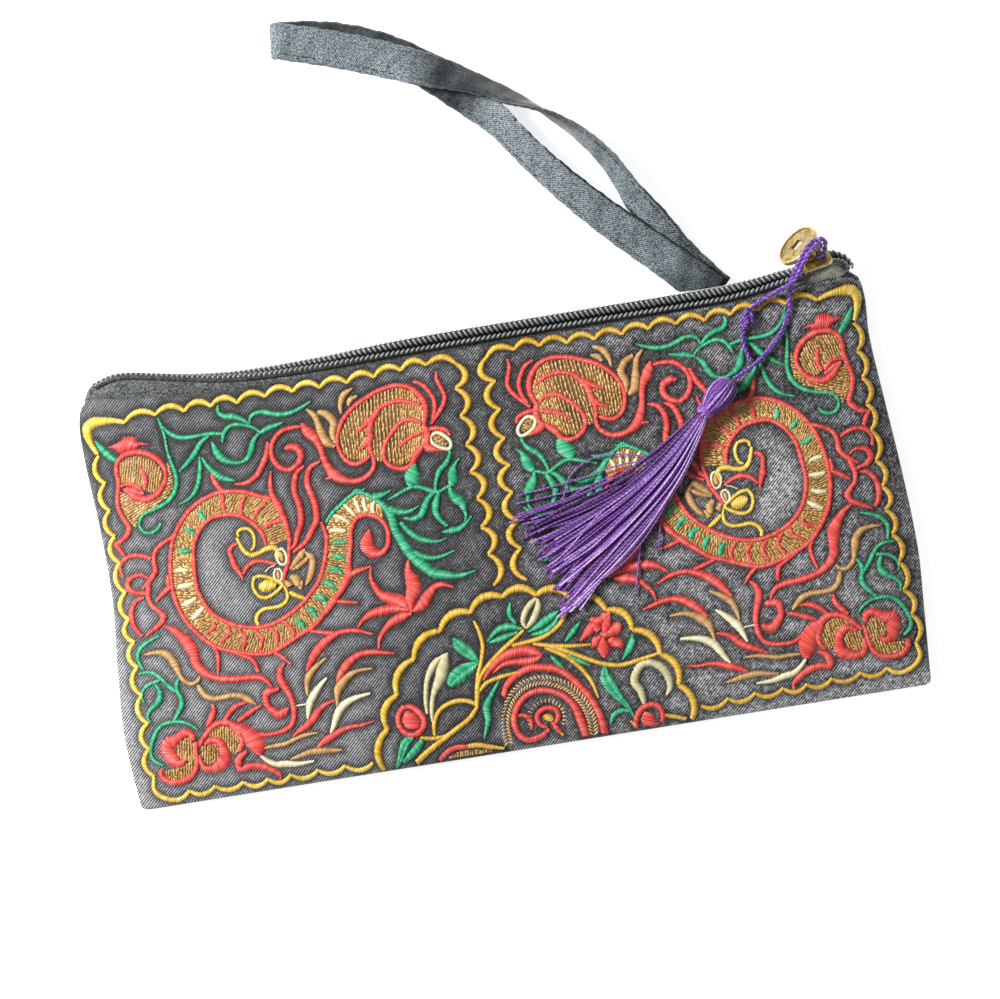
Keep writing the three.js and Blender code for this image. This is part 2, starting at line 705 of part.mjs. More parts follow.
const pouch = new THREE.Group();
function add(name, geometry, material) {
  const mesh = new THREE.Mesh(geometry, material);
  mesh.name = name;
  pouch.add(mesh);
  return mesh;
}

add('front_panel', panelSolid(frontTop, frontSurface), finish(satin, 0.6, 0));
add('back_panel', panelSolid(backTop, backSurface), finish(satin, 0.6, 0));
add('zip_tape_front', tapeSolid(-1, atFrontHem, 4.4, 1.2), finish(nylon, 0.8, 0));
add('zip_tape_back', tapeSolid(1, insideBack, 3.2, 6), finish(nylon, 0.8, 0));
add('zip_coil_front', coilSolid(-1), finish(nylon, 0.4, 0));
add('zip_coil_back', coilSolid(1), finish(nylon, 0.4, 0));

const slider = add('slider', sliderSolid(), finish(brass, 0.4, 1));
slider.position.copy(point(sliderPlace));
slider.quaternion.setFromRotationMatrix(
  new THREE.Matrix4().makeBasis(sliderAlong, sliderTurn.across, sliderTurn.face),
);

const coin = add('coin_pull', coinSolid(), finish(brass, 0.4, 1));
coin.position.copy(coinPivot).addScaledVector(coinUp, -lugCentre);
coin.quaternion.setFromRotationMatrix(
  new THREE.Matrix4().makeBasis(coinLevel, coinUp, coinLevel.clone().cross(coinUp)),
);

add('cord_hitch', hitchSolid(), finish(violet, 0.6, 0));
add('tassel_cord_strand', tubeSolid(strandRoute, cordRadius, 8, 30), finish(violet, 0.6, 0));
add('tassel_cord_loop', tubeSolid(loopRoute, cordRadius, 8, 20), finish(violet, 0.6, 0));
add('tassel_cord_tail', tubeSolid(tailRoute, cordRadius, 8, 6), finish(violet, 0.6, 0));
add('cord_knot', knotSolid(), finish(violet, 0.6, 0));
add('tassel_head', headSolid(), finish(violet, 0.5, 0));
add('tassel_skirt', skirtSolid(), finish(violet, 0.5, 0));
add('wrist_strap', strapSolid(), finish(strapSatin, 0.5, 0));

export default pouch;
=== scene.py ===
# %% [markdown]
# # An embroidered zip pouch
# The pouch lies on its back and is seen straight from above. Its construction comes packed as a
# fixed frame, and this lesson dresses that frame: cloth, thread, zip teeth, brass, cord and tassel.

# %% Load the frame
import math

import bpy
import numpy as np
from mathutils.kdtree import KDTree
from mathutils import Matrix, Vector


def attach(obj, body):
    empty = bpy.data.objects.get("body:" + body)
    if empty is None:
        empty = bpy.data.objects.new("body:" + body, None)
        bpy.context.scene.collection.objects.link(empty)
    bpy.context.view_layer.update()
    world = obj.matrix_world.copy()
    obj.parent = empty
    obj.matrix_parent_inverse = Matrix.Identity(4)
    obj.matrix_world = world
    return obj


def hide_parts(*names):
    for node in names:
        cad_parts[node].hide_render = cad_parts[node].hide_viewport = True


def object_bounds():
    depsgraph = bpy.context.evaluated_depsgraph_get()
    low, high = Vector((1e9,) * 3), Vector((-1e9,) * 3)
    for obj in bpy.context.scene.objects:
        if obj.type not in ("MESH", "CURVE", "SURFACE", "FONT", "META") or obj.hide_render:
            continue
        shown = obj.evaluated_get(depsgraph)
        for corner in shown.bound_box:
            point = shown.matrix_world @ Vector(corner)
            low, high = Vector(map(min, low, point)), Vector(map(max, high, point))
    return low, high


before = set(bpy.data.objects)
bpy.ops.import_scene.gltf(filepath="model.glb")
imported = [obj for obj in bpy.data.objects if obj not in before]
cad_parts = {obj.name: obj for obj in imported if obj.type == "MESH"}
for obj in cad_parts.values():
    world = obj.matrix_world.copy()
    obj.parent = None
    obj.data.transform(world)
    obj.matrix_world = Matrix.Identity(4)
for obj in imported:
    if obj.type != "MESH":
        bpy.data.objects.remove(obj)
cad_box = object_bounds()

MM = 0.001
ROOT = "root"
rng = np.random.default_rng(11)
box_size = [round(side / MM, 1) for side in cad_box[1] - cad_box[0]]
print("frame:", len(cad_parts), "pieces, box", box_size, "mm")

# %% [markdown]
# ## The camera
# The photograph looks straight down on the pouch, which lies turned by about nine degrees. A long
# lens from well above keeps the outline free of perspective. The lens follows from the width that
# the picture shows.

# %% Camera
PHOTO_WIDE = 1000               # pixels
PHOTO_SCALE = 3.542             # pixels per millimetre on the front
PHOTO_TURN = math.radians(9.13)
VIEW_CENTRE = (0.2, 10.3, 8.0)  # millimetres
CAMERA_AWAY = 750.0             # millimetres above the view's centre
SENSOR = 36.0                   # millimetres

camera_data = bpy.data.cameras.new("camera")
camera_data.sensor_width = SENSOR
camera_data.lens = SENSOR * CAMERA_AWAY * PHOTO_SCALE / PHOTO_WIDE
camera = bpy.data.objects.new("camera", camera_data)
bpy.context.scene.collection.objects.link(camera)
camera.location = (VIEW_CENTRE[0] * MM, VIEW_CENTRE[1] * MM, (VIEW_CENTRE[2] + CAMERA_AWAY) * MM)
camera.rotation_euler = (0, 0, -PHOTO_TURN)
bpy.context.scene.camera = camera
print("camera lens", round(camera_data.lens, 1), "mm")

# %% [markdown]
# ## Shader sums in Python
# A finish is a small tree of nodes. Writing it as sums keeps it readable: a Wire is one socket, and
# adding or multiplying it makes the Math node. Every other node comes from Finish.node, which sets
# the node's own settings first and then its sockets.

# %% Wires between nodes
class Wire:
    """One output socket of a finish, which can be used in a Python sum."""

    def __init__(self, finish, socket):
        self.finish = finish
        self.socket = socket

    def maths(self, operation, *values):
        """A math node on this wire and other values."""
        return self.finish.node("ShaderNodeMath", {"operation": operation}, dict(enumerate(values)))

    def __add__(self, other):
        return self.maths("ADD", self, other)

    def __radd__(self, other):
        return self.maths("ADD", other, self)

    def __sub__(self, other):
        return self.maths("SUBTRACT", self, other)

    def __rsub__(self, other):
        return self.maths("SUBTRACT", other, self)

    def __mul__(self, other):
        return self.maths("MULTIPLY", self, other)

    def wave(self):
        """A smooth ripple from 0 to 1 that repeats with every whole number."""
        return self.maths("SINE", self * (2 * math.pi)) * 0.5 + 0.5

    def between(self, low, high):
        """0 below low, 1 above high, and smooth between them."""
        settings = {"interpolation_type": "SMOOTHSTEP"}
        return self.finish.node("ShaderNodeMapRange", settings, {0: self, 1: low, 2: high})


def socket_name(key):
    """The shader's own name for a socket: specular_ior_level is Specular IOR Level."""
    return key.replace("_", " ").title().replace("Ior", "IOR")


print("specular_ior_level feeds", socket_name("specular_ior_level"))


# %% Finishes
class Finish:
    """A material whose nodes are added one call at a time."""

    def __init__(self, name, **shine):
        self.material = bpy.data.materials.new(name)
        self.material.use_nodes = True
        self.tree = self.material.node_tree
        self.tree.nodes.clear()
        sockets = {socket_name(key): value for key, value in shine.items()}
        shader = self.node("ShaderNodeBsdfPrincipled", {}, sockets)
        self.shader = shader.socket.node
        self.node("ShaderNodeOutputMaterial", {}, {"Surface": shader}, output=None)

    def node(self, kind, settings=None, inputs=None, output=0):
        """Adds a node with its settings and inputs, and gives one of its outputs as a wire."""
        made = self.tree.nodes.new(kind)
        for key, value in (settings or {}).items():
            setattr(made, key, value)
        for key, value in (inputs or {}).items():
            self.join(made.inputs[key], value)
        return None if output is None else Wire(self, made.outputs[output])

    def join(self, socket, value):
        """Links a wire to a socket, or gives the socket a plain value."""
        if isinstance(value, Wire):
            self.tree.links.new(value.socket, socket)
        else:
            socket.default_value = value

    def paint(self, **sockets):
        """Feeds the shader's own sockets, such as base_color or roughness."""
        for key, value in sockets.items():
            self.join(self.shader.inputs[socket_name(key)], value)
        print(self.material.name, len(self.tree.nodes), "nodes")
        return self.material

    def place(self):
        """Where a point is on its object, in metres."""
        return self.node("ShaderNodeTexCoord", output="Object")

    def axis(self, name):
        """The place along X, Y or Z."""
        return self.node("ShaderNodeSeparateXYZ", {}, {"Vector": self.place()}, output=name)

    def mark(self, name):
        """A number that the mesh carries at each of its points."""
        return self.node("ShaderNodeAttribute", {"attribute_name": name}, output="Fac")

    def noise(self, size_mm, detail=2.0):
        """Soft random patches of about this size."""
        inputs = {"Vector": self.place(), "Scale": 1 / (size_mm * MM), "Detail": detail}
        return self.node("ShaderNodeTexNoise", {}, inputs, output=0)

    def mix(self, factor, first, second):
        """Two colours blended; the node's colours are its sockets 6 and 7, and its output 2."""
        inputs = {0: factor, 6: first, 7: second}
        return self.node("ShaderNodeMix", {"data_type": "RGBA"}, inputs, output=2)

    def bump(self, height, depth_mm, strength):
        """Relief from a height that runs from 0 to 1."""
        inputs = {"Height": height, "Distance": depth_mm * MM, "Strength": strength}
        return self.node("ShaderNodeBump", {}, inputs, output="Normal")


def colour(code):
    """A linear colour with alpha from a six-figure sRGB code."""
    parts = [int(code[k:k + 2], 16) / 255 for k in (0, 2, 4)]
    return (*[p / 12.92 if p <= 0.04045 else ((p + 0.055) / 1.055) ** 2.4 for p in parts], 1.0)


print("sRGB 808080 is", round(colour("808080")[0], 3), "in linear light")

# %% [markdown]
# ## Curves and meshes
# Listed points become smooth curves, and arrays of points become meshes. One function makes
# every piece: it builds the mesh, gives it a finish, lets it ride on the frame and says which
# imported nodes it stands for.

# %% Curves
def through(keys, values):
    """A smooth function through a table of keys and values."""
    keys, values = np.asarray(keys, float), np.asarray(values, float)
    before = np.maximum(np.arange(len(keys)) - 1, 0)
    after = np.minimum(np.arange(len(keys)) + 1, len(keys) - 1)
    slopes = (values[after] - values[before]) / (keys[after] - keys[before])

    def at(x):
        x = np.asarray(x, float)
        k = np.clip(np.searchsorted(keys, x) - 1, 0, len(keys) - 2)
        span = keys[k + 1] - keys[k]
        t = np.clip((x - keys[k]) / span, 0, 1)
        u = 1 - t
        ends = (1 + 2 * t) * u * u * values[k] + (3 - 2 * t) * t * t * values[k + 1]
        return ends + span * t * u * (u * slopes[k] - t * slopes[k + 1])

    return at


def lengths(points):
    """Distance along a line of points, from 0 at its start."""
    return np.concatenate([[0], np.cumsum(np.linalg.norm(np.diff(points, axis=0), axis=1))])


def curve_at(at, keys, rows):
    """The columns of a table, each as a smooth curve, read at new keys."""
    return np.stack([through(keys, column)(at) for column in rows.T], axis=1)


def line_at(at, keys, rows):
    """The columns of a table, read straight between its keys."""
    return np.stack([np.interp(at, keys, column) for column in rows.T], axis=1)


def resample(rows, step, space):
    """Rows about step apart on a smooth curve; the first space columns are its place."""
    rows = np.asarray(rows, float)
    key = lengths(rows[:, :space])
    fine = np.linspace(0, key[-1], max(int(4 * key[-1] / step), 12))
    dense = curve_at(fine, key, rows)
    along = lengths(dense[:, :space])
    at = np.linspace(0, along[-1], max(round(along[-1] / step), 2) + 1)
    return line_at(at, along, dense)


def unit(vectors):
    """Vectors scaled to a length of 1."""
    return vectors / np.maximum(np.linalg.norm(vectors, axis=-1, keepdims=True), 1e-9)


print("an arch of 3 places becomes", len(resample([(0, 0), (1, 1), (2, 0)], 0.1, 2)), "points")


# %% Meshes
def grid_faces(rows, columns, closed=False):
    """Quads of a grid of points; a closed grid joins its last column to its first."""
    quads_across = columns if closed else columns - 1
    row, here = np.meshgrid(np.arange(rows - 1), np.arange(quads_across), indexing="ij")
    after = (here + 1) % columns
    low, high = row * columns, (row + 1) * columns
    return np.stack([low + here, low + after, high + after, high + here], axis=-1).reshape(-1, 4)


class Parts:
    """Collects the points, faces and marks of many small shapes for one mesh."""

    def __init__(self):
        self.points, self.faces, self.marks, self.count = [], [], {}, 0

    def add(self, points, faces, **marks):
        """Adds one shape, and for each mark a number or one for each of its points."""
        points = np.asarray(points, float).reshape(-1, 3)
        self.points.append(points)
        self.faces.extend(np.asarray(f) + self.count for f in faces)
        for name, values in marks.items():
            self.marks.setdefault(name, []).append(np.broadcast_to(values, len(points)))
        self.count += len(points)

    def grid(self, grid, **marks):
        """An open sheet over a grid of points."""
        rows, columns = grid.shape[:2]
        self.add(grid, [grid_faces(rows, columns)], **marks)

    def tube(self, rings, **marks):
        """A closed tube through rings of points, with a cap at each end."""
        rows, sides = rings.shape[:2]
        last = (rows - 1) * sides
        caps = [np.arange(sides)[None, ::-1], last + np.arange(sides)[None]]
        self.add(rings, [grid_faces(rows, sides, True), *caps], **marks)

    def piece(self, name, material, slot, replaces=()):
        """The collected shapes as one object that rides on the frame."""
        mesh = bpy.data.meshes.new(name)
        points = np.concatenate(self.points) * MM
        sizes = np.concatenate([np.full(len(f), f.shape[1]) for f in self.faces])
        corners = np.concatenate([f.ravel() for f in self.faces])
        mesh.vertices.add(len(points))
        mesh.vertices.foreach_set("co", points.astype(np.float32).ravel())
        mesh.loops.add(len(corners))
        mesh.loops.foreach_set("vertex_index", corners.astype(np.int32))
        mesh.polygons.add(len(sizes))
        starts = np.concatenate([[0], np.cumsum(sizes)[:-1]])
        mesh.polygons.foreach_set("loop_start", starts.astype(np.int32))
        mesh.update(calc_edges=True)
        mesh.polygons.foreach_set("use_smooth", np.ones(len(sizes), bool))
        for mark, values in self.marks.items():
            layer = mesh.attributes.new(mark, "FLOAT", "POINT")
            layer.data.foreach_set("value", np.concatenate(values).astype(np.float32))
        mesh.materials.append(material)
        made = bpy.data.objects.new(name, mesh)
        bpy.context.scene.collection.objects.link(made)
        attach(made, ROOT)
        if replaces:
            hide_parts(*replaces)
        print(name, int((sizes - 2).sum()), "triangles")
        return made


print("a grid of 3 by 4 points has", len(grid_faces(3, 4)), "quads")


# %% Tubes
def frames(path):
    """Two directions across a path at each of its points, which turn as little as they can."""
    ahead = unit(np.gradient(path, axis=0))
    side = unit(np.cross(ahead[0], (0.0, 0.0, 1.0)))
    sides = []
    for direction in ahead:
        side = unit(side - direction * (side @ direction))
        sides.append(side)
    sides = np.array(sides)
    return sides, np.cross(ahead, sides)


def rings_along(path, radius, sides):
    """Round rings of points about a path; radius is one number or one for each point."""
    across, up = frames(path)
    angle = np.linspace(0, 2 * math.pi, sides, endpoint=False)
    radius = np.broadcast_to(radius, len(path))[:, None, None]
    spokes = across[:, None] * np.cos(angle)[:, None] + up[:, None] * np.sin(angle)[:, None]
    return path[:, None] + radius * spokes


print("rings on 3 points:", rings_along(np.eye(3), 1.0, 8).shape)

# %% [markdown]
# ## The cord
# The pull's cord is two violet yarns laid together by twisting, hitched on the slider's bail. One
# strand runs to the tassel. The other leaves it, has a small knot, and is caught under the first
# again. Each yarn is a tube that winds round the cord's route, so that the twist is real and shows
# in its outline.

# %% Cord finish
CORD = 1.4                      # diameter in millimetres
LAY = 3.2                       # length of one full twist of the two yarns
TWIST = 1.3                     # from one dash of a yarn's own twist to the next
YARN, YARN_OFFSET, YARN_SIDES = 0.27 * CORD, 0.235 * CORD, 8


def yarn_finish(name, dark, middle, light, dash):
    """Silky violet thread: its tone changes from thread to thread, and its twist shows as painted
    highlight dashes.
    """
    finish = Finish(name, roughness=0.42, sheen_weight=0.3, sheen_roughness=0.4)
    tone = finish.mark("tone")
    twist = (finish.mark("along") * (1 / TWIST) + finish.mark("round")).wave()
    patch = finish.noise(2.5)
    # the twist term paints highlight dashes; tone and patch are random
    shade = tone * 0.6 + twist * dash + patch * 0.35 - dash * 0.4
    low = finish.mix(shade.between(0.1, 0.5), colour(dark), colour(middle))
    full = finish.mix(shade.between(0.55, 0.95), low, colour(light))
    return finish.paint(base_color=full, normal=finish.bump(twist, 0.08, 0.7))


violet_cord = yarn_finish("violet_cord", "35155f", "6c3ea6", "cbaef2", 0.35)

# %% Cord strands
STRAND = [
    (98.9, 67.9, 15.6), (97.4, 67.4, 16.1), (95.9, 66.1, 16.0), (94.1, 63.6, 14.4), (92.5, 61.2, 12.9),
    (91.1, 59.0, 12.1), (90.2, 56.6, 10.9), (89.9, 54.0, 9.5), (89.0, 50.0, 9.3), (87.0, 46.0, 9.4),
    (84.0, 42.0, 9.5), (80.2, 38.7, 9.8), (76.0, 35.9, 10.7), (72.6, 34.2, 11.8), (70.3, 33.3, 12.6),
]
LOOP = [
    (98.6, 66.3, 16.5), (97.2, 65.4, 16.9), (95.9, 64.0, 16.4), (94.3, 61.9, 15.1), (92.8, 59.7, 14.0),
    (91.1, 57.6, 13.1), (89.0, 56.6, 12.7), (86.6, 55.9, 11.5), (83.0, 54.4, 9.9), (80.8, 53.3, 9.5),
    (79.0, 52.5, 9.7), (77.6, 50.8, 10.0), (76.4, 49.0, 9.9), (75.6, 47.0, 9.6), (75.0, 44.6, 9.4),
    (75.1, 41.8, 9.4), (75.6, 39.2, 9.7), (76.1, 37.7, 10.2),
]


def thread_tube(parts, path, radius, sides, along, tone):
    """A round thread that carries its tone, the way along it and the way round it."""
    about = np.tile(np.arange(sides) / sides, len(path))
    rings = rings_along(path, radius, sides)
    parts.tube(rings, tone=tone, along=np.repeat(along, sides), round=about)


def lay_cord(parts, path):
    """Two yarns wound round a path."""
    across, up = frames(path)
    along = lengths(path)
    for start in (0, math.pi):
        turn = (2 * math.pi * along / LAY + start)[:, None]
        line = path + YARN_OFFSET * (np.cos(turn) * across + np.sin(turn) * up)
        thread_tube(parts, line, YARN, YARN_SIDES, along, 0.35 + 0.3 * rng.random())


def cord_piece(name, route, replaces):
    path = resample(route, 0.22, 3)
    parts = Parts()
    lay_cord(parts, path)
    return parts.piece(name, violet_cord, "violet_cord", replaces), path


strand, strand_path = cord_piece("tassel_cord_strand_laid", STRAND, ["tassel_cord_strand"])
loop, loop_path = cord_piece("tassel_cord_loop_laid", LOOP, ["tassel_cord_loop", "tassel_cord_tail"])
for part, path in (("strand", strand_path), ("loop and tail", loop_path)):
    print(part, round(lengths(path)[-1], 1), "mm")

# %% [markdown]
# ## The hitch and the knot
# The hitch is a turn of the same cord round the bail, and the knot is a plain overhand knot pulled
# small. A closed three-lobed curve has the overhand knot's crossings, so the knot is that curve
# scaled to its place.

# %% Slider directions
SLIDER = np.array([98.7, 61.65, 9.2])
SLIDER_HEADING, SLIDER_TILT = math.radians(18), math.radians(40)


def chain_directions(heading, tilt):
    """Directions out over the pouch's edge, out of the zip's face, and across to its rear row."""
    heading, tilt = np.asarray(heading)[..., None], np.asarray(tilt)[..., None]
    level = np.concatenate([-np.sin(heading), np.cos(heading), np.zeros_like(heading)], axis=-1)
    up = np.array([0.0, 0.0, 1.0])
    return level, up * np.cos(tilt) + level * np.sin(tilt), level * np.cos(tilt) - up * np.sin(tilt)


_, slider_face, slider_across = chain_directions(SLIDER_HEADING, SLIDER_TILT)
slider_along = np.cross(slider_across, slider_face)


def on_slider(along, across, out):
    """A place along the slider, across it and out of its face."""
    return SLIDER + along * slider_along + across * slider_across + out * slider_face


print("slider faces", np.round(slider_face, 2).tolist())

# %% Hitch and knot
PLATE_TOP, BAIL_SPAN, BAIL_RISE, BAIL_FOOT, BAIL_WIRE = 2.0, 3.0, 3.8, 0.5, 0.6
SHOULDER = math.radians(40)     # where on the bail's arch the hitch sits
HITCH_GAP = 0.3
reach = BAIL_WIRE + HITCH_GAP + CORD / 2
heart_along = BAIL_SPAN * math.cos(SHOULDER)
heart_out = PLATE_TOP + (BAIL_RISE + BAIL_FOOT) * math.sin(SHOULDER) - BAIL_FOOT
lean = unit(np.array([(BAIL_RISE + BAIL_FOOT) * math.cos(SHOULDER), BAIL_SPAN * math.sin(SHOULDER)]))
hitch_route = [STRAND[0], (100.4, 68.0, 15.1), (101.5, 67.1, 14.1)]
for angle in np.radians((60, 30, 0, -40, -90, -140, -180, -215)):
    rise = reach * math.sin(angle)
    aside = -reach * math.cos(angle)
    hitch_route.append(on_slider(heart_along + lean[0] * rise, aside, heart_out + lean[1] * rise))
hitch_route += [(100.0, 66.9, 13.7), (99.5, 66.8, 15.4), LOOP[0]]
hitch_parts = Parts()
lay_cord(hitch_parts, resample(hitch_route, 0.2, 3))
hitch = hitch_parts.piece("cord_hitch_laid", violet_cord, "violet_cord", ["cord_hitch"])

KNOT = np.array([77.1, 49.7, 10.35])
KNOT_TURN = math.radians(62)
KNOT_HALF = (2.3, 1.25, 0.85)   # half its length, width and height
t = np.linspace(0, 2 * math.pi, 180)
lobe_x = (np.sin(t) + 2 * np.sin(2 * t)) / 2.75
lobe_y = (np.cos(t) - 2 * np.cos(2 * t)) / 3
x, y, z = (np.stack([lobe_x, lobe_y, -np.sin(3 * t)], axis=1) * KNOT_HALF).T
c, s = math.cos(KNOT_TURN), math.sin(KNOT_TURN)
knot_parts = Parts()
lay_cord(knot_parts, KNOT + np.stack([c * x - s * y, s * x + c * y, z], axis=1))
knot = knot_parts.piece("cord_knot_tied", violet_cord, "violet_cord", ["cord_knot"])

# %% [markdown]
# ## The tassel
# The tassel is a bundle of thread doubled over the cord, bound at the neck and cut off at the end.
# Its form comes from the threads themselves, so each is a thin tube: they follow the bound head,
# leave the neck together and fan out over the embroidery, with a few strays. Length and place vary
# from thread to thread.

# %% Tassel threads
HEAD_TOP, HEAD_NECK = np.array([69.6, 32.9, 12.8]), np.array([60.4, 24.9, 11.8])
HEAD_ROWS = [
    # share of its length, radius
    (0.0, 0.9), (0.06, 2.2), (0.15, 3.0), (0.35, 3.5), (0.55, 3.4), (0.75, 2.7), (0.87, 2.0), (1.0, 2.0),
]
SKIRT_FLOOR = 8.95              # the height that the threads lie on
SKIRT_POINTS = 26               # along each of them
SKIRT = np.array([
    # x, y, half width, thickness, lift
    (59.9, 24.4, 2.0, 4.2, 0.6), (55.5, 19.6, 3.8, 4.2, 0.3), (48.0, 12.2, 6.4, 3.9, 0.0),
    (38.0, 4.6, 9.0, 3.3, 0.0), (26.0, -2.4, 12.2, 2.7, 0.0), (14.0, -8.2, 15.2, 2.0, 0.0),
    (9.0, -10.6, 16.4, 1.5, 0.0),
])
THREAD = 0.24                   # radius of one thread
THREAD_SIDES = 5
HEAD_THREADS = 58
LOCKS = [
    # place across the fan, spread, threads, reach, tone
    (-0.97, 0.04, 4, 0.97, 0.3), (-0.78, 0.06, 5, 0.94, 0.25), (-0.58, 0.06, 8, 0.97, 0.3),
    (-0.4, 0.07, 12, 0.93, 0.25), (-0.22, 0.07, 14, 0.96, 0.4), (-0.04, 0.07, 14, 0.91, 0.35),
    (0.12, 0.07, 14, 0.97, 0.45), (0.3, 0.06, 13, 0.94, 0.4), (0.46, 0.05, 12, 0.99, 0.5),
    (0.64, 0.04, 10, 0.96, 0.45), (0.8, 0.035, 10, 1.03, 0.6), (0.93, 0.025, 8, 1.0, 0.75),
]
tassel_silk = yarn_finish("tassel_silk", "34104e", "78429f", "e0c2f4", 0.16)
skirt_key = lengths(SKIRT[:, :2])
skirt_at = [through(skirt_key / skirt_key[-1], column) for column in SKIRT.T]


def silk_thread(parts, path, radius, tone):
    """One thread of the tassel, whose twist starts anywhere."""
    thread_tube(parts, path, radius, THREAD_SIDES, lengths(path) + 7 * rng.random(), tone)


def skirt_thread(aside, height, reach, sway, phase):
    """One thread: aside runs from -1 to 1 across the fan, and height from 0 to 1 through its depth."""
    v = np.linspace(0, 1, SKIRT_POINTS)
    u = np.minimum(v * reach, 1)
    x, y, half, thick, lift = (column(u) for column in skirt_at)
    before = np.stack([column(np.maximum(u, 0.02) - 0.02) for column in skirt_at[:2]], axis=1)
    after = np.stack([column(np.maximum(u, 0.02)) for column in skirt_at[:2]], axis=1)
    ahead = unit(after - before)
    past = np.maximum(v * reach - 1, 0)[:, None] * skirt_key[-1]
    gather = aside * (0.85 + 0.15 * v) + sway * np.sin(2.2 * v * math.pi + phase) * v * (1 - 0.6 * v)
    centre = np.stack([x, y], axis=1) + ahead * past
    plan = centre + np.stack([-ahead[:, 1], ahead[:, 0]], axis=1) * (half * gather)[:, None]
    room = np.sqrt(np.maximum(1 - np.minimum(np.abs(gather), 1) ** 2, 0.02))
    z = SKIRT_FLOOR + lift + THREAD + thick * (0.5 + (height - 0.5) * room) * 0.9
    return np.concatenate([plan, z[:, None]], axis=1)


skirt_parts = Parts()
frayed = np.ones(SKIRT_POINTS)
frayed[-2:] = 1.2, 1.5          # the cut ends open a little
for place, spread, threads, far, bright in LOCKS:
    lock_sway, lock_phase = 0.09 * rng.normal(), rng.random() * 6
    for _ in range(threads):
        wander = 0.22 if rng.random() < 0.15 else 0.05
        aside = np.clip(place + spread * rng.normal(), -1, 1.03)
        height = rng.random() ** 0.8
        sway, phase = lock_sway + wander * rng.normal(), lock_phase + 0.5 * rng.normal()
        path = skirt_thread(aside, height, far + 0.03 * rng.normal(), sway, phase)
        # upper threads are painted lighter and lower ones darker, painted light and shade through the
        # skirt's depth; the rest is random tone
        tone = np.clip(bright + 0.4 * (height - 0.5) + 0.22 * rng.normal(), 0, 1)
        silk_thread(skirt_parts, path, THREAD * frayed, tone)
STRAYS = [
    [(46.0, 14.0, 11.5), (36.0, 14.6, 10.6), (25.0, 12.8, 9.6), (14.0, 11.4, 9.4), (5.0, 10.6, 9.3)],
    [(44.0, 9.0, 11.5), (34.0, 10.6, 10.4), (22.0, 9.6, 9.5), (12.0, 8.8, 9.3), (4.6, 8.4, 9.3)],
    [(45.0, 15.0, 11.0), (35.0, 17.6, 10.2), (27.0, 17.4, 9.6), (21.0, 14.0, 9.4), (18.6, 9.4, 9.4),
     (16.0, 4.0, 9.4)],
    [(47.0, 3.0, 10.2), (44.4, -1.6, 9.6), (43.2, -6.0, 9.4), (42.0, -11.3, 9.3)],
    [(40.0, -2.0, 10.0), (37.4, -8.4, 9.5), (35.6, -15.0, 9.3), (33.5, -22.7, 9.3)],
    [(33.0, 12.0, 10.6), (22.0, 8.8, 9.8), (12.0, 4.2, 9.5), (1.6, 3.4, 9.3)],
]
for route in STRAYS:
    silk_thread(skirt_parts, resample(route, 1.2, 3), THREAD, 0.6)
skirt_parts.piece("tassel_skirt_threads", tassel_silk, "tassel_thread", ["tassel_skirt"])

# %% Tassel head
head_axis = unit(HEAD_NECK - HEAD_TOP)
head_side = unit(np.cross(head_axis, (0.0, 0.0, 1.0)))
head_up = np.cross(head_side, head_axis)
head_long = np.linalg.norm(HEAD_NECK - HEAD_TOP)
head_radius = through(*np.array(HEAD_ROWS).T)


def head_spokes(angle):
    """Directions out of the head's axis."""
    return np.cos(angle)[:, None] * head_side + np.sin(angle)[:, None] * head_up


head_parts = Parts()
v = np.linspace(0, 1.04, 30)
for k in range(HEAD_THREADS):
    angle = 2 * math.pi * k / HEAD_THREADS + 0.35 * np.sin(3 * v + k) * 0.3
    angle = angle + 0.9 * v * rng.normal() * 0.25
    out = head_radius(np.minimum(v, 1)) * (1 + 0.035 * rng.normal())
    path = HEAD_TOP + (v * head_long)[:, None] * head_axis + out[:, None] * head_spokes(angle)
    silk_thread(head_parts, path, THREAD * 1.15, np.clip(0.45 + 0.3 * rng.normal(), 0, 1))
core_spokes = head_spokes(np.linspace(0, 2 * math.pi, 20, endpoint=False))
core_radius = (head_radius(np.minimum(v, 1)) - 0.1)[:, None, None]
core = HEAD_TOP + (v * head_long)[:, None, None] * head_axis + core_radius * core_spokes
head_parts.tube(core, tone=0.2, along=0.0, round=0.0)
turns = np.linspace(0, 5 * 2 * math.pi, 150)
bind = HEAD_TOP + ((0.86 + 0.024 * turns / (2 * math.pi)) * head_long)[:, None] * head_axis
bind = bind + 2.25 * head_spokes(turns)
silk_thread(head_parts, bind, 0.3, 0.6)
head = head_parts.piece("tassel_head_bound", tassel_silk, "tassel_thread", ["tassel_head"])

strand_long = lengths(strand_path)[-1] * MM
loop_long = lengths(loop_path)[-1] * MM
print("free strands:", round(strand_long / MM, 1), "and", round(loop_long / MM, 1), "mm")

# %% [markdown]
# ## The black satin panels
# Front and back are black satin twill, sewn together on three sides. The front is pushed up by what
# the hollow holds and has soft dents between the stitched areas, and its edges roll over to the
# seam. Both are grids of points from the outline's tables, closed by a rounded rim.

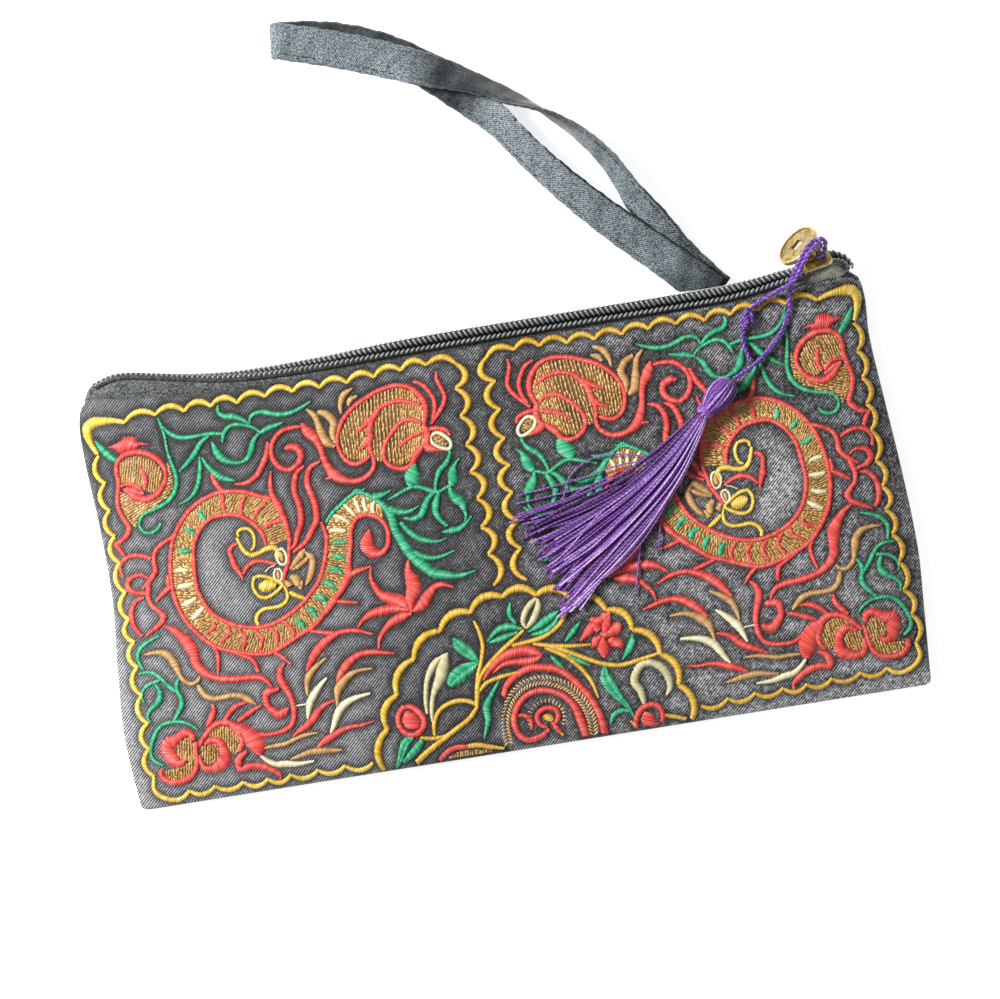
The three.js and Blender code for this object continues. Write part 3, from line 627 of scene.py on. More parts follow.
# %% Outline
left_edge = through((-61, -40, -20, 0, 20, 40, 50, 58),
                    (-114.0, -115.6, -114.5, -112.8, -113.1, -114.3, -114.2, -112.2))
right_edge = through((-61, -40, -22, 0, 20, 40, 50, 58),
                     (112.6, 114.0, 115.0, 114.0, 112.4, 110.9, 111.4, 110.6))
front_top = through((-116, -111.3, -108.8, -103, -90, -80, -60, -20, 0, 70, 85, 95, 106, 112),
                    (52.0, 56.0, 56.6, 55.4, 53.8, 52.7, 52.5, 53.4, 53.8, 54.4, 55.3, 56.8, 57.2, 54.8))
back_top = through((-116, -111, -106, -100, -80, -60, -40, 0, 70, 90, 100, 106, 112),
                   (53.0, 57.8, 60.0, 60.8, 58.8, 57.8, 58.2, 59.2, 59.3, 60.6, 62.0, 61.0, 56.0))
SIDE_ROW = 50                   # the height at which the panels' sides are measured
BOTTOM, CORNER, CLOTH = -60.6, 1.5, 1.2
SEAM, SEAM_GAP = 2.4, 0.15      # the seam's height, and half the gap between the panels there
FRONT_HIGH, EDGE_REACH = 7.6, 9.0
PANEL_RIM = 0.3                 # how far a panel's rounded rim stands out
SWELLS = [
    # x, y, reach, height
    (-77, 2, 13, 0.5), (77, 3, 13, 0.5), (-1, 20, 12, -0.4), (-58, 28, 12, -0.35), (45, 30, 12, -0.35),
    (-1, -34, 22, 0.35),
]
CREASES = [
    # closeness, direction, start, height
    (rng.uniform(0.25, 0.75), rng.uniform(0, math.pi), rng.uniform(0, 6), 0.05 + 0.05 * rng.random())
    for _ in range(9)
]


def front_surface(x, y):
    """Height of the middle of the front's cloth, with its swells and small creases."""
    def lift(inside):
        return 1 - np.exp(-np.maximum(inside, 0) / EDGE_REACH)
    rise = lift(x - left_edge(y)) * lift(right_edge(y) - x) * lift(y - BOTTOM)
    swell = sum(h * np.exp(-((x - sx) ** 2 + (y - sy) ** 2) / r ** 2) for sx, sy, r, h in SWELLS)
    crease = sum(h * np.sin(f * (x * math.cos(a) + y * math.sin(a)) + p) for f, a, p, h in CREASES) * 0.35
    gather = 0.2 * np.sin(x * 0.95 + 1.4 * np.sin(x / 9)) * np.exp(-np.abs(front_top(x) - y) / 3)
    edge = SEAM + SEAM_GAP + CLOTH / 2
    return edge + (FRONT_HIGH - edge + swell + crease + gather) * rise


def back_surface(x, y):
    """Height of the middle of the back's cloth, flat on the table and raised to the seam."""
    def flat(inside):
        t = np.clip(inside / EDGE_REACH, 0, 1)
        return t * t * (3 - 2 * t)
    rest = flat(x - left_edge(y)) * flat(right_edge(y) - x) * flat(y - BOTTOM)
    return (SEAM - SEAM_GAP - CLOTH / 2) * (1 - rest) + CLOTH / 2 * rest


def panel_plan(across, up, top):
    """Places on a panel; across and up run from 0 to 1."""
    level = left_edge(SIDE_ROW) * (1 - across) + right_edge(SIDE_ROW) * across
    y = BOTTOM + (top(level) - BOTTOM) * up
    into = np.maximum(CORNER - (y - BOTTOM), 0)
    inset = CORNER - np.sqrt(np.maximum(CORNER ** 2 - into ** 2, 0))
    x = (left_edge(y) + inset) * (1 - across) + (right_edge(y) - inset) * across
    return x, y


print("outline", round(float(right_edge(SIDE_ROW) - left_edge(SIDE_ROW)), 1), "mm wide near the zip")


# %% Cloth of a panel
def rounded_sheet(parts, over, under, bulge, **marks):
    """A closed sheet between two grids, whose rim stands out by bulge; marks are functions of points."""
    rows, columns = over.shape[:2]
    order = np.arange(rows * columns).reshape(rows, columns)
    rim = np.concatenate([order[0, :-1], order[:-1, -1], order[-1, :0:-1], order[:0:-1, 0]])
    high, low = over.reshape(-1, 3), under.reshape(-1, 3)
    middle = (high[rim] + low[rim]) / 2
    ahead = np.roll(middle, -1, axis=0) - np.roll(middle, 1, axis=0)
    outward = unit(np.cross(ahead, high[rim] - low[rim]))
    count, n = rows * columns, len(rim)
    nose = 2 * count + np.arange(n)
    turned = np.roll(np.arange(n), -1)
    belt_high = np.stack([rim, nose, nose[turned], rim[turned]], axis=1)
    belt_low = np.stack([nose, rim + count, rim[turned] + count, nose[turned]], axis=1)
    faces = grid_faces(rows, columns)
    points = np.concatenate([high, low, middle + bulge * outward])
    values = {name: mark(points) for name, mark in marks.items()}
    parts.add(points, [faces, faces[:, ::-1] + count, belt_high, belt_low], **values)


def fine_ends(count):
    """Steps from 0 to 1 that are closer at both ends."""
    even = np.linspace(0, 1, count)
    return 0.5 * even + 0.5 * (1 - np.cos(math.pi * even)) / 2


def panel(name, top, surface, columns, rows, material, node):
    """One panel of the pouch as a closed cloth."""
    across, up = np.meshgrid(fine_ends(columns), fine_ends(rows))
    x, y = panel_plan(across, up, top)
    z = surface(x, y)
    parts = Parts()
    over, under = np.stack([x, y, z + CLOTH / 2], -1), np.stack([x, y, z - CLOTH / 2], -1)
    # each point of the panel carries the satin's painted sheen
    rounded_sheet(parts, over, under, PANEL_RIM, lustre=lustre)
    return parts.piece(name, material, "black_satin", [node])


print("a panel's steps:", np.round(fine_ends(6), 2).tolist())


# %% Satin
def soft_step(value, middle, reach):
    """Rises softly from 0 to 1 about the middle."""
    return 1 / (1 + np.exp((middle - value) / reach))


def lustre(points):
    """Painted sheen on the satin, from about 0 to 1: brightest at the lower left and the right, with
    painted shade along the right edge.
    """
    x, y = points[:, 0], points[:, 1]
    # every term is painted light: sheen at the lower left, on the right, on the ring's swell, at the ends
    # and on the left rim, and painted shade along the right edge
    low = soft_step(-y, -24, 9)
    left = soft_step(-x, 44, 8) * (0.04 + 0.6 * low)
    right = soft_step(x, 58, 14) * 0.44 + soft_step(x, 8, 8) * soft_step(-y, 10, 12) * 0.2
    swell = 0.5 * np.exp(-((x - 82) ** 2 + (y - 2) ** 2) / 11 ** 2)
    ends = 0.2 * soft_step(-y, 51, 3) + 0.16 * soft_step(y, 40, 5) * soft_step(x, -55, 8)
    rim = 0.1 * low * np.exp(-np.abs(x - left_edge(y)) / 4)
    shaded = 0.28 * np.exp(-(((x - right_edge(y)) / 7) ** 2))
    return np.clip(0.1 + left + right + swell + ends + rim - shaded, -0.1, 1.2)


TWILL = 0.95                    # from one twill line to the next, along the zip


def satin_finish(name, dark, light):
    """Satin twill: fine lines, even on the left and rougher to the right, with painted sheen, painted
    glints of single threads and painted shade beside the stitches.
    """
    finish = Finish(name, specular_ior_level=0.2)
    x, y = finish.axis("X") * (1 / MM), finish.axis("Y") * (1 / MM)
    line = ((x - y) * (1 / TWILL) + finish.noise(9.0) * 0.4).wave()
    grain, speck = finish.noise(0.7, 1.0), finish.noise(1.1, 1.0)
    rough = (x * (1 / 160) + 0.5).between(0.1, 0.95)
    weave = line * (0.55 - rough * 0.15) + grain * 0.6 + speck * (rough * 0.4 + 0.15)
    weave = weave + 0.22 - rough * 0.125
    cloud, patch = finish.noise(4.5, 2.0), finish.noise(18.0, 2.0)
    # the pulled mark is painted shade beside the stitches, near 1 next to a stitch
    pulled = finish.mark("pulled")
    # painted sheen in broad soft patches
    painted_sheen_patches = cloud * 0.3 - 0.15 + (patch - 0.5) * (rough * 0.9 + 0.5)
    sheen_and_stitch_shade = (finish.mark("lustre") + painted_sheen_patches - pulled * 0.3).between(-0.2, 1.0)
    # the hollows and the floating threads each run from their colour without sheen to their colour in
    # full painted sheen
    hollow = finish.mix(sheen_and_stitch_shade, colour(dark[0]), colour(dark[1]))
    float_thread = finish.mix(sheen_and_stitch_shade, colour(light[0]), colour(light[1]))
    base = finish.mix(weave.between(0.68, 1.05), hollow, float_thread)
    # painted glints: single threads drawn as pale specks, more of them to the right and in the painted
    # sheen
    glint = (line * 0.35 + grain * 0.8 + speck * 0.5).between(0.88, 1.2)
    glint = glint * (rough * 0.8 + 0.3) * (sheen_and_stitch_shade * 0.7 + 0.3)
    bright = finish.mix(glint, base, colour("dcdde0"))
    # painted shade beside the stitches, towards near-black
    full = finish.mix(pulled * 0.55, bright, colour("0c0b0b"))
    relief = finish.bump(weave, 0.08, 0.8)
    return finish.paint(base_color=full, roughness=0.7 - weave * 0.18, normal=relief)


# each pair runs from no sheen to full painted sheen
black_satin = satin_finish("black_satin", ("161617", "353436"), ("565558", "b6b5b8"))

# %% Panels
front_cloth = panel("front_panel_satin", front_top, front_surface, 260, 140, black_satin, "front_panel")
back_cloth = panel("back_panel_satin", back_top, back_surface, 120, 70, black_satin, "back_panel")

# %% [markdown]
# ## The embroidery chart
# The pattern is a traditional one: a coiled dragon, a butterfly, blossoms and leaves in a scalloped
# frame, twice mirrored, with a round medallion below. Each stroke is a row of places, x y and width
# in millimetres, and a place without a width keeps the one before. Strokes end with a semicolon.

# %% Chart of one half
RED = """
-107.2 42.3 .2, -105.5 42.4 .8, -104.3 42.3 2, -103 42.2 4, -101.5 42.4 4.4, -100 42.2 3.8,
-98.7 41.7 2, -97.5 41.9 .9, -95.2 41.4 .2; -109.7 15.1 .7, -107.5 15.6 1.4, -105.2 17.5 1.7,
-104.6 19.3 1.6, -105.6 21.5 1.4, -106.6 24.5, -106.7 27, -106 29.8, -105.5 32.5, -105.6 35.5,
-104.8 38, -102.5 39.5 1.6, -99.5 39.8 1.8, -96.3 38.9 1.7, -93.5 36.8 1.6, -92 34.2 1.4,
-91.9 31.6 1.3, -93.3 28.9 1.5, -95.5 26.9 1.9, -98.5 26.1 2.2, -101.2 27.2 2.4, -102.9 28.9 1.8,
-104.2 30.2 1; -103.6 30.3 .6, -101.9 29.3 1.8, -100.2 28.3, -98.8 27.9 .8; -105.3 31 .8,
-102.5 31.2 1.3, -100.3 30 1.4, -99.2 28.8 .8; -98.7 35.9 .5, -98.2 34.2 1.2, -97.7 32 1.6,
-98 30.2 1.3, -98.6 28.9 .8; -66.9 8 1.1, -67.2 10.5 1.3, -68.3 13, -70.5 15.6, -73.5 17.6,
-77 18.3, -81 18, -84 16, -86.2 13, -87.4 10, -88 5, -88.2 0, -87.3 -4, -85.5 -7.8, -83 -10.5,
-79.5 -12.7, -76 -14, -72 -14.6, -68 -14.1, -64 -12.6, -59.8 -10.1, -56.4 -7.2, -53.9 -4.4,
-51.8 -.2, -50.5 3.6, -49.7 7.8, -50.5 12 .8; -63.5 20.8 1.3, -66.5 21.9, -70 23.6, -74 24.5,
-78 24.7, -82 23.7, -85.5 22, -88.7 19.3, -91 16.5, -92.7 13.5, -93.9 10, -94.8 5, -95 0,
-94.6 -3.7, -92.7 -9.5, -90 -13.5, -87 -16.8, -84 -18.8, -80 -20.4, -76 -21.6, -72 -22.2, -69.6 -22,
-66.5 -20.8, -63.5 -19.5, -61 -18.3, -57.5 -16.8 1.5, -54 -13.8 1.6, -51.5 -11.5 2, -49 -9 1.6,
-47 -6.5 2.2, -45 -3.5 2.4, -44.6 -1 1.4, -44 2 1.3, -43.2 5, -42.6 8.3, -41 11, -39.2 11.9,
-36.6 11.8, -34.1 10.3, -32.6 7.8, -32.4 5.3 1.4, -33 2.7 1.5, -34.5 1 1.7, -36.2 .6 2.4,
-37.9 1.6 4, -38.6 3.6 4.4, -38 5.8 3, -37.5 7.7 .6; -62.3 28.4 .6, -63 25 1.2, -63 22 1.8,
-62 19 2.2, -61 15.5 2, -60.3 12 1.5, -60.1 9 1.3, -60.8 5.3 1.2, -61.5 2.3 1.3, -63.2 -1 1.2,
-63.8 -3 .8; -76.7 24 .9, -77.2 21.5 1.3, -77 18.6 1; -70.5 22.9 .9, -72 20.5 1.3, -72.4 17.6 1;
-65.3 19.9 .9, -67.6 18.2 1.3, -69.3 15.8 1; -61.5 14.2 .9, -64.3 14 1.3, -67 12.8 1; -84.9 -11 .9,
-85 -12.5 1.3, -87.6 -13.9 1; -81 -12.6 .9, -81.3 -14.8 1.3, -84 -17 1; -78.4 -14.3 .9,
-76.8 -16.8 1.3, -78.2 -19.8 1; -73.9 -15.2 .9, -72.2 -17.7 1.3, -73.4 -20.8 1; -69.8 -15 .9,
-67.9 -17.6 1.3, -68.7 -20.6 1; -65.2 -14.2 .9, -63.4 -16.8 1.3, -63.6 -19.3 1; -109.6 15.2 .8,
-108.3 13.3 1.4, -107.3 11.4 1.2; -108.6 5.4 .8, -109.1 8 1.1, -107.7 10.2 1.3, -105 11 1.2,
-102 10.5, -99.9 9.4 1; -92.3 14.6 1, -95.5 13.2 1.2, -98 11.5 1.3, -99 9 1.4, -99 6 1.6,
-100.2 4.2, -102 2.5 1.4, -103.6 1.4 .8; -101.2 3.5 1.2, -101.9 1 1.8, -102.3 -1.2 1.4,
-101.6 -3.8 1.3, -100.2 -5.3 1.4, -98.9 -7 2, -99.6 -8.8 1.6, -101.7 -10.2 1.4, -104.8 -12 .6;
-103.7 -1.2 .8, -106 -1.9 1.2, -107.7 -4.3 1.6, -108 -7, -107.2 -9.8 1.4, -105.8 -11.8 1;
-101.4 4.1 .6, -103.2 5.2 1, -105.3 5.2 1.2, -107.2 4.2 1.6, -107.6 2.3 1.8, -106 .7 1.6,
-103.8 .1 1, -102.5 -.2 .8; -95.3 .5 .8, -96.8 -.1 1.6, -98.8 -1.5 1.3, -100.4 -2.7 .6; -95.8 4 .8,
-96 1.5 1.4, -95.5 0 .8; -99.2 -9.9 .5, -97 -11.2 1.6, -95 -13.2 2.6, -93.3 -15.5 3.6,
-92.5 -17.5 3.8, -92 -19.5 2.8, -91.8 -21.5 3, -90.8 -23.6 2.6, -88.7 -25.7 2.2, -85.5 -27.2 1.9,
-81 -28, -77 -28.2 1.7, -74 -28.9 1.5, -72.5 -30.3 1.2, -71.7 -31.7 .6; -86.5 -17.5 .8,
-85.4 -19.5 1.2, -85.5 -22.5 1.1, -86.2 -25.8 .6; -82 -19.8 .8, -79.5 -21.2 1, -76.5 -22.8 1.2,
-75.2 -24.5 1.3, -74.8 -27 1.2; -69.6 -22.2 1, -67.4 -23.9, -65.4 -26.2 .5; -67.1 -25.6 .6,
-68.5 -27.4 1.6, -68.9 -29.5 2.2, -68.3 -31.6, -67.4 -33.8 1.9, -66.7 -36.3 1.7, -66.5 -38.8 1.6,
-66.9 -41.3 1.5, -68.1 -43.4 1.4, -70.3 -44.5 1.3, -73.1 -44.9 1.2, -75.6 -44.9, -77.4 -44.1 1;
-69.9 -32.7 1.4, -71.7 -32.9 2, -73.5 -33.4 2.2, -73.9 -35.2 2, -73.5 -37, -72.4 -38.4 2.4,
-71 -39.5 3, -69.2 -39.3 2.2, -68 -38.4 .8; -78.9 30.6 .6, -78.7 28.9 1.3, -77.6 26.4 1.5,
-76.4 24.9 1.3; -73.1 26.4 .5, -69.5 26.3 1.2, -66.4 27.9 1.6, -64.5 30.4 1.7, -62.8 33.3 1.6,
-61.8 36.5 1.2; -51.4 39.4 .6, -54.3 39.6 1.2, -57.7 39 1.3, -60 37.1 1.4, -61.3 34.5 1.5,
-61.1 31.6 1.6, -59.6 29.1, -57.3 28 1.5, -54.7 29.1 1.6, -53.3 31.2 2, -53.7 33.3, -55.6 34.3 2.2,
-57.5 34.1 1; -52.8 28.4 .5, -55 27 1.4, -56.2 24.4 1.7, -56.6 21.5 1.8, -56 18.5, -55.8 15.6,
-56.4 12.2, -57.7 9.7 1.6, -58.9 7 1.2, -60.6 5.7 .6; -48.2 28.9 .6, -51 27.8 1.4, -52.4 25.3 1.7,
-52.6 22.3 1.8, -51.8 19.4 1.9, -51.4 16 2, -51.8 12.7, -53.5 10.1 1.8, -56 7 1.4, -59.8 4.8 .8;
-17.7 34.3 1.2, -16.7 37.1 1.6, -16.4 39.6 1.8, -17.1 42.1, -18.5 44.2 1.6, -20.6 45.9 1.4,
-23.6 46.7, -26.5 46.5 1.3, -29.5 45.8, -32.4 44.6, -35.4 43.2, -37.9 41.5, -40.2 39.2, -41.7 36.6,
-42.5 33.7, -42.1 30.7, -40.9 28.2, -38.7 26.7, -36.2 27 1.2, -34.1 28.2 1.1; -18.1 40.2 1,
-20.6 41.5 1.3, -23.6 42.3 1.4, -26.5 42.1 1.3, -29.1 41.1 1.4, -30.8 39.4 1.8, -32 37.9 2.2,
-32.9 35.8 2, -33.1 33.7 2.2, -33.7 31.2 1.6, -33.5 29.1 1.2, -33.1 27, -33.5 24.9 1.3,
-35 23.2 1.4, -37.1 22.1 1.5, -39.6 21.9 1.6, -42.5 22.8 2.2, -44.6 24.4 3, -46.1 27 2.4,
-47 29.9 1.8, -47.4 32.4, -48.2 35 2.4, -49.7 37.1 3.2, -50.7 38.7 2.6, -51.4 40.4 1; -31 39.3 1,
-32.8 38 2, -34.8 36.6 1.4, -37 35.5 .4; -32.8 34 1.2, -34 32.3 1.8, -35.6 31 1.2, -37.2 30.5 .4;
-47.6 23.8 .4, -46 24 1, -44.5 24.5 1.5; -18.3 35 1, -19.8 36.2 1.3, -21.9 36.6 1.4, -24.4 36,
-26.5 34.1 1.3, -28.6 31.8 1.2, -29.9 29.5 1.3, -30.1 27, -29.1 24.9, -27 23.6 1.4, -24.9 23.2,
-22.8 24 1.6, -21.5 26.1 2.2, -19.8 27.8 2, -18.1 29.1 1.4; -16.7 33.3 1.2, -19.8 32.2 1.3,
-22.8 31.2, -26.1 29.1 .5; -18.4 28.8 2.2, -17 27.8 2.4, -15.2 27 1.4, -13 26.5 .4; -15 35.6 .8,
-13.9 38.3 1.2, -13.7 41.3 1.3, -14.8 43.8, -16.4 45.9 1.2, -18.8 47.1 .6; -15.6 34.3 .8,
-13.5 36.6 1.2, -11.4 39.2 1.3, -10.5 41.7, -11.2 44.2 1.2, -12 46.7 1.1, -11.8 48.8 .5;
-16.4 33.1 1.2, -13.9 32.9 1.3, -11.6 32 1.2, -10.8 30.5 .7; -17.6 35 1, -17 32 2.2, -17.6 29 1.4;
-74.9 9.6 .7, -76.3 9.3 1.2, -77.3 8 1.3, -77 6, -76.6 4 2, -75.8 2.2 1.6, -75 .2 .8, -75 -.7 .4;
-74.6 1 .7, -73 2.9 1.2, -70.8 3.9 1.3, -68.4 3.7 1.2, -66.4 2.9 1, -65 2.2 .7; -50.1 -10.7 1.2,
-47.2 -11.4 1.1, -44 -12.1 .5; -45.1 -4 2, -42.1 -3.2 1.4, -38.5 -2.6 .4; -59.5 -17.6 .8,
-57 -18.3 1, -54.5 -19 1.2, -52 -19.6 1.4; -29.5 -17 1, -29.1 -13.3 3.2, -27.8 -10.3 4.4,
-27.8 -7.8 3.8, -28.4 -5.3 2.2, -28 -2.5 .5; -29.9 -16.2 1, -32 -13.7 3.6, -34.5 -12.4 3.4,
-37.1 -10.7 2.4, -38.5 -8.2 1.6, -39.2 -5.7 1.1, -38.7 -2.7 .4; -30.3 -16.4 .8, -33.7 -15.4 2.4,
-37.1 -15.4 2.6, -40.4 -15.8 2.2, -43 -17 1.4, -45.1 -18.9 .5; -29.5 -17.5 .8, -32.9 -18.3 2.8,
-35.4 -19.1 2.2, -37.9 -21.2 1.4, -39.6 -23.4 1, -40.2 -25.9 .6; -29.1 -17 .8, -26.1 -15.4 3.2,
-23.6 -12.8 2.6, -21.5 -11.1 1.8, -19.4 -10.9 1.3, -16.7 -12 .5; -61.3 -28.8 .8, -59.7 -26.5 2,
-57.8 -24.1 2.6, -55.1 -21.8 2.4, -52.2 -20.3 1.8, -50.1 -19.6 1.4, -45.9 -19.8 1.2, -41.3 -21.5 .5;
-68.1 -46.5 .6, -65.3 -44.9 1.6, -63.7 -44.1 2, -61.3 -42.3 2.2, -59.3 -40.2 1.8, -57.5 -39.1 1.2,
-54.9 -38.3 .5; -53.4 -33.2 .8, -51.9 -31.1 2, -49.6 -28.8 2.4, -47.2 -27.2 2, -44.6 -26.5 1.6,
-41.7 -26.6 1.4, -39 -27.2 1.1, -35.9 -27.9 .4; -61.9 -50.8 .8, -59.5 -49.3 1.9, -56.9 -48.2 2,
-54.3 -47.1 1.6, -51.3 -46.5 1.1, -48.4 -46.5 .8, -44.6 -45.8 .3; -96 -43.1 1.8, -96.7 -41.3 2,
-98.5 -40.9 2.6, -100.3 -41.8, -101.7 -42.7 3.4, -103.5 -43.4 4.2, -103.7 -45.2 4.4, -103.1 -47 4.2,
-102.1 -48.6 3.4, -100.6 -49.1 2.2, -99.2 -48.2 1; -95.3 -43.8 1.2, -95.8 -46.3, -96 -49.1 1.3,
-96.9 -51.6 1.5, -98.9 -53.6 1.7, -101.7 -54.3, -104.6 -54, -106.5 -52.4 1.6, -106.9 -50.9 1.2,
-106 -50 .7; -94.6 -44.9 1.2, -93.5 -43.4 1.3, -91.7 -41.5 1.5, -89.6 -40 1.7, -87.1 -39.5 1.8,
-84.9 -40.2 2.2, -83.5 -42 2.6, -82.6 -44.1 2.2, -82.6 -46.3 1.6, -83.7 -48.4 1.2; -84.2 -40.9 2,
-82.1 -42.4 4, -79.9 -44.9 6, -78.9 -47 5.5, -78.5 -49.1 3.5, -78.5 -50.2 1.5; -93.1 -44.9 1.4,
-91.4 -44 1.8, -89.6 -44.3 2.4, -88.3 -45.8 2.6, -88 -47.7 3, -88.1 -49.7 4, -89.6 -51.1 3.6,
-91.7 -52 2.4, -93.9 -51.6 2, -94.9 -49.9 1.6, -94.9 -47.7 1.2; -81.7 -48.8 1, -83.9 -50.2 2,
-84.6 -52 2.4, -84.2 -53.4 1.8, -81.7 -53.1 2, -78.9 -53.4, -76.4 -54.5 1.8, -74.6 -55.8 1.5,
-73.5 -57 .9, -73.9 -58.8 .4; -91.7 -39.9 1, -90.3 -38.1 1.8, -89 -35.9 1.5, -89 -33.8 .8;
-86.4 -39.1 1, -84.6 -37 1.6, -82.1 -35.4 1.4, -79 -34.9 .5; -82.8 -39.9 1, -80.3 -38.6 1.5,
-77.4 -37.2 1.2, -75.3 -36.5 .4
"""
GREEN = """
-110.3 44.8 .6, -109 42.6 1.8, -107 40 2, -105.3 38.3 1.4; -91.5 48.4 .6, -90.9 46.2 1, -90.4 43 .9,
-90.3 39, -89.7 35.5 1.2, -89 32 1.4, -89.2 29 1.5, -90.6 26.3, -93 24.3 1.3, -96.5 23 1.2,
-99.5 22.2 1.1, -101.2 20.6 1, -101.4 18.7, -100.4 17.1 1.1, -98.6 16.6 1.2, -96.6 17.3,
-95.4 18.8 .8; -90.6 45.8 .8, -88.9 43.6 1.2, -86.5 42 1.3, -83.5 41.5 1.2, -80 41.6 1.1,
-77 41.5 1.2, -74 40.9 1; -78 41 .8, -80.5 39.5 1.4, -82.5 37 1.8, -85 34.6 1.6, -88 32.5 .5;
-81.6 35.6 .7, -81.9 32.5 1.3, -82.8 29 1.5, -84.2 26.3 1.4, -86.5 24.3 1, -89.5 23.2 .4;
-80.9 35.3 .7, -79.6 32.5 1.3, -77.3 29.6 2, -75.2 28.3 1.6, -72.8 27.4 .6; -77.4 39.2 .6,
-76.6 36.5 2.2, -75.3 34.2 2.3, -73 32.7 1.4, -70.5 32.2 1, -68.2 33.1 1.5, -66.8 35.2 2,
-65.8 37.6 1.6, -64.2 39.3 .9; -74.6 38.6 .9, -73.8 40.8 1.2, -72.4 42.4 1.3, -70.4 43 1.2,
-68.2 42.6 1.1, -66.3 41.9 .9, -64.7 40.9 .8, -63.4 39.6 .7; -74.1 49.2 .6, -74.3 47.4 1.3,
-73 45.9 1.6, -70.7 45.4 1.8, -68.6 44.5 1.4, -67 43.3 .9, -66.2 42.2 .6; -66.2 42.6 .6,
-65.6 44.3 1.1, -64.2 45.2 1.2, -62 45.3 1.4, -60 44.6 1.5, -57 43.8 1.4, -53.8 43.9 1.3,
-50.5 45 1, -48.2 46.1 .5; -64 39.4 .8, -62.6 40 1.4, -61.2 40.5 1.8, -59.6 40.8 1.4, -57.5 41.3 .9,
-56.7 41.5 .4; -49.3 11.6 .8, -47.2 13.9 1.2, -44.2 16, -41.7 17.7, -39.2 18.5 1, -37.1 17.9 1.2,
-35 16.4 1.6, -32.9 14.3 1.8, -31.2 11.8 2.4, -30.6 9.5 2.7, -30.3 6.5 2.6, -29.1 3.6 2.8,
-27.8 .6 3, -26.1 -2.3, -24 -4.8, -21.5 -7.2 2.8, -18.5 -8.2 2.4, -15.6 -9 1.8, -12.7 -9 1.2,
-9.9 -8.4 .4; -40.8 18.2 1, -39.3 19.2 1.2, -38 18.9 .9, -36.8 19.4 .3; -35.5 16.4 2.6,
-33.5 16.6 2.2, -31.5 17 1.2, -29.8 17.7 .3; -31.5 13 2, -29.5 11.8 2.2, -27 11 1.6, -24.8 11.2 1,
-22.6 12.2 .3; -28.5 8.5 1.2, -26.5 5.5 1.8, -24 3.1, -21 1.8 1.4, -18.7 1.4 .8, -16.5 1.9 .3;
-26.5 0 1.2, -24 -2 1.8, -21 -3 1.3, -17.8 -2.8 1, -14.8 -1.9 .4; -27.6 9.5 .5, -25 8.8 1.4,
-22.6 9.4 2, -21 11.6 2.2, -19.6 13.8 1.6, -17.5 15.4 1; -31 15.2 .5, -28.2 16.2 1, -25.3 17.3 1.1,
-23.2 17.7 1.2, -20.6 16.9 1.3, -18.1 15.6, -16.4 15.2 1, -14.3 16, -12.7 16.4 .8; -21.7 24 1,
-22.3 22.8 3.4, -23 21 4.6, -23.8 19.2 4.2, -24.2 18 2; -11.4 27 .8, -11.8 24.9 1.2, -13.1 22.8 1.6,
-15.2 21.1 1.7, -16.4 19 1.3, -17.1 16.9 1.1, -17.3 15.4 .9; -9.3 23.6 .5, -10.8 21.9 1.2,
-11.6 19.8 3, -12 18.1 3.4, -12.9 16.4 1.8; -13.2 16 .8, -12.9 14.3 2, -11.8 12.6 3.2,
-10.5 10.8 2.8, -10.3 9.9 2, -9.9 7.4 .9, -10.5 5.9 .6; -16.5 14.8 1, -17.1 13.5 1.8,
-17.9 11.4 2.2, -18.1 9.5 2, -17.3 7.4 1.6, -15.6 5.3 1; -17.3 3.8 .5, -14.8 3.8 1.8, -12.2 4,
-10.1 5.3 1.2, -8.4 6.9 .4; -101 -12.5 .4, -104 -13.6 1.1, -106.6 -15 1.3, -108 -17.2,
-107.8 -19.5 1.1, -107.1 -21.3 .8; -109 -22.4 .5, -106 -22.2 1, -103.8 -23 1.1, -102 -25 1.2,
-100.2 -27.3 1.3, -98.6 -28.9 1.2; -108.3 -30.7 .5, -108.7 -28.8 .9, -108.1 -27.2 1, -106.4 -25.8,
-104.2 -25.2, -102.8 -25 .8; -104.2 -25.9 .9, -103.3 -27.9 1.6, -103.5 -29.7 2, -104.9 -31.5 1.6,
-106.9 -32.9 1.2, -107.9 -34.5 1.1, -107.4 -36.6 .5; -97.1 -25 .5, -98.1 -26.6 1.3, -98.3 -28.8 1.4,
-97.6 -30.6 1.6, -97.6 -32.4 1.7, -98.5 -34.1 1.5, -99.8 -35.8 1.2, -100.6 -37 .9; -94.4 -40.5 .4,
-95.8 -39 .9, -98.1 -37.7 1, -100.6 -37.2 1.1, -103.5 -37.4 1.2, -105.6 -38.6 1.3, -107.1 -40.6 1.4,
-108.1 -42.7 1.3, -108.7 -45.2 1.2, -108 -47.4, -105.8 -49 .6; -91.8 11 .7, -90.3 10 1.9,
-88.2 9.9 .8; -89 16.4 .7, -87.6 15.3 1.9, -86.2 14.3 .8; -83.9 20.9 .7, -83.6 19.2 1.9,
-82.6 17.4 .8; -48.5 5.6 .7, -46.7 5.6 1.9, -44.9 5.1 .8; -49.4 2.2 .7, -47.6 1.8 1.9, -45.7 .4 .8;
-50.8 -1.2 .7, -48.8 -1.6 1.9, -47 -3.2 .8; -53.2 -5 .7, -51.2 -5.4 1.9, -49.4 -7.6 .8; -56 -8.4 .7,
-53.9 -9 1.9, -52.6 -11.3 .8; -58.6 -11 .7, -57 -12.4 1.9, -55.9 -14.8 .8; -62.3 -13.6 .7,
-60.8 -15.2 1.9, -60 -17.3 .8
"""
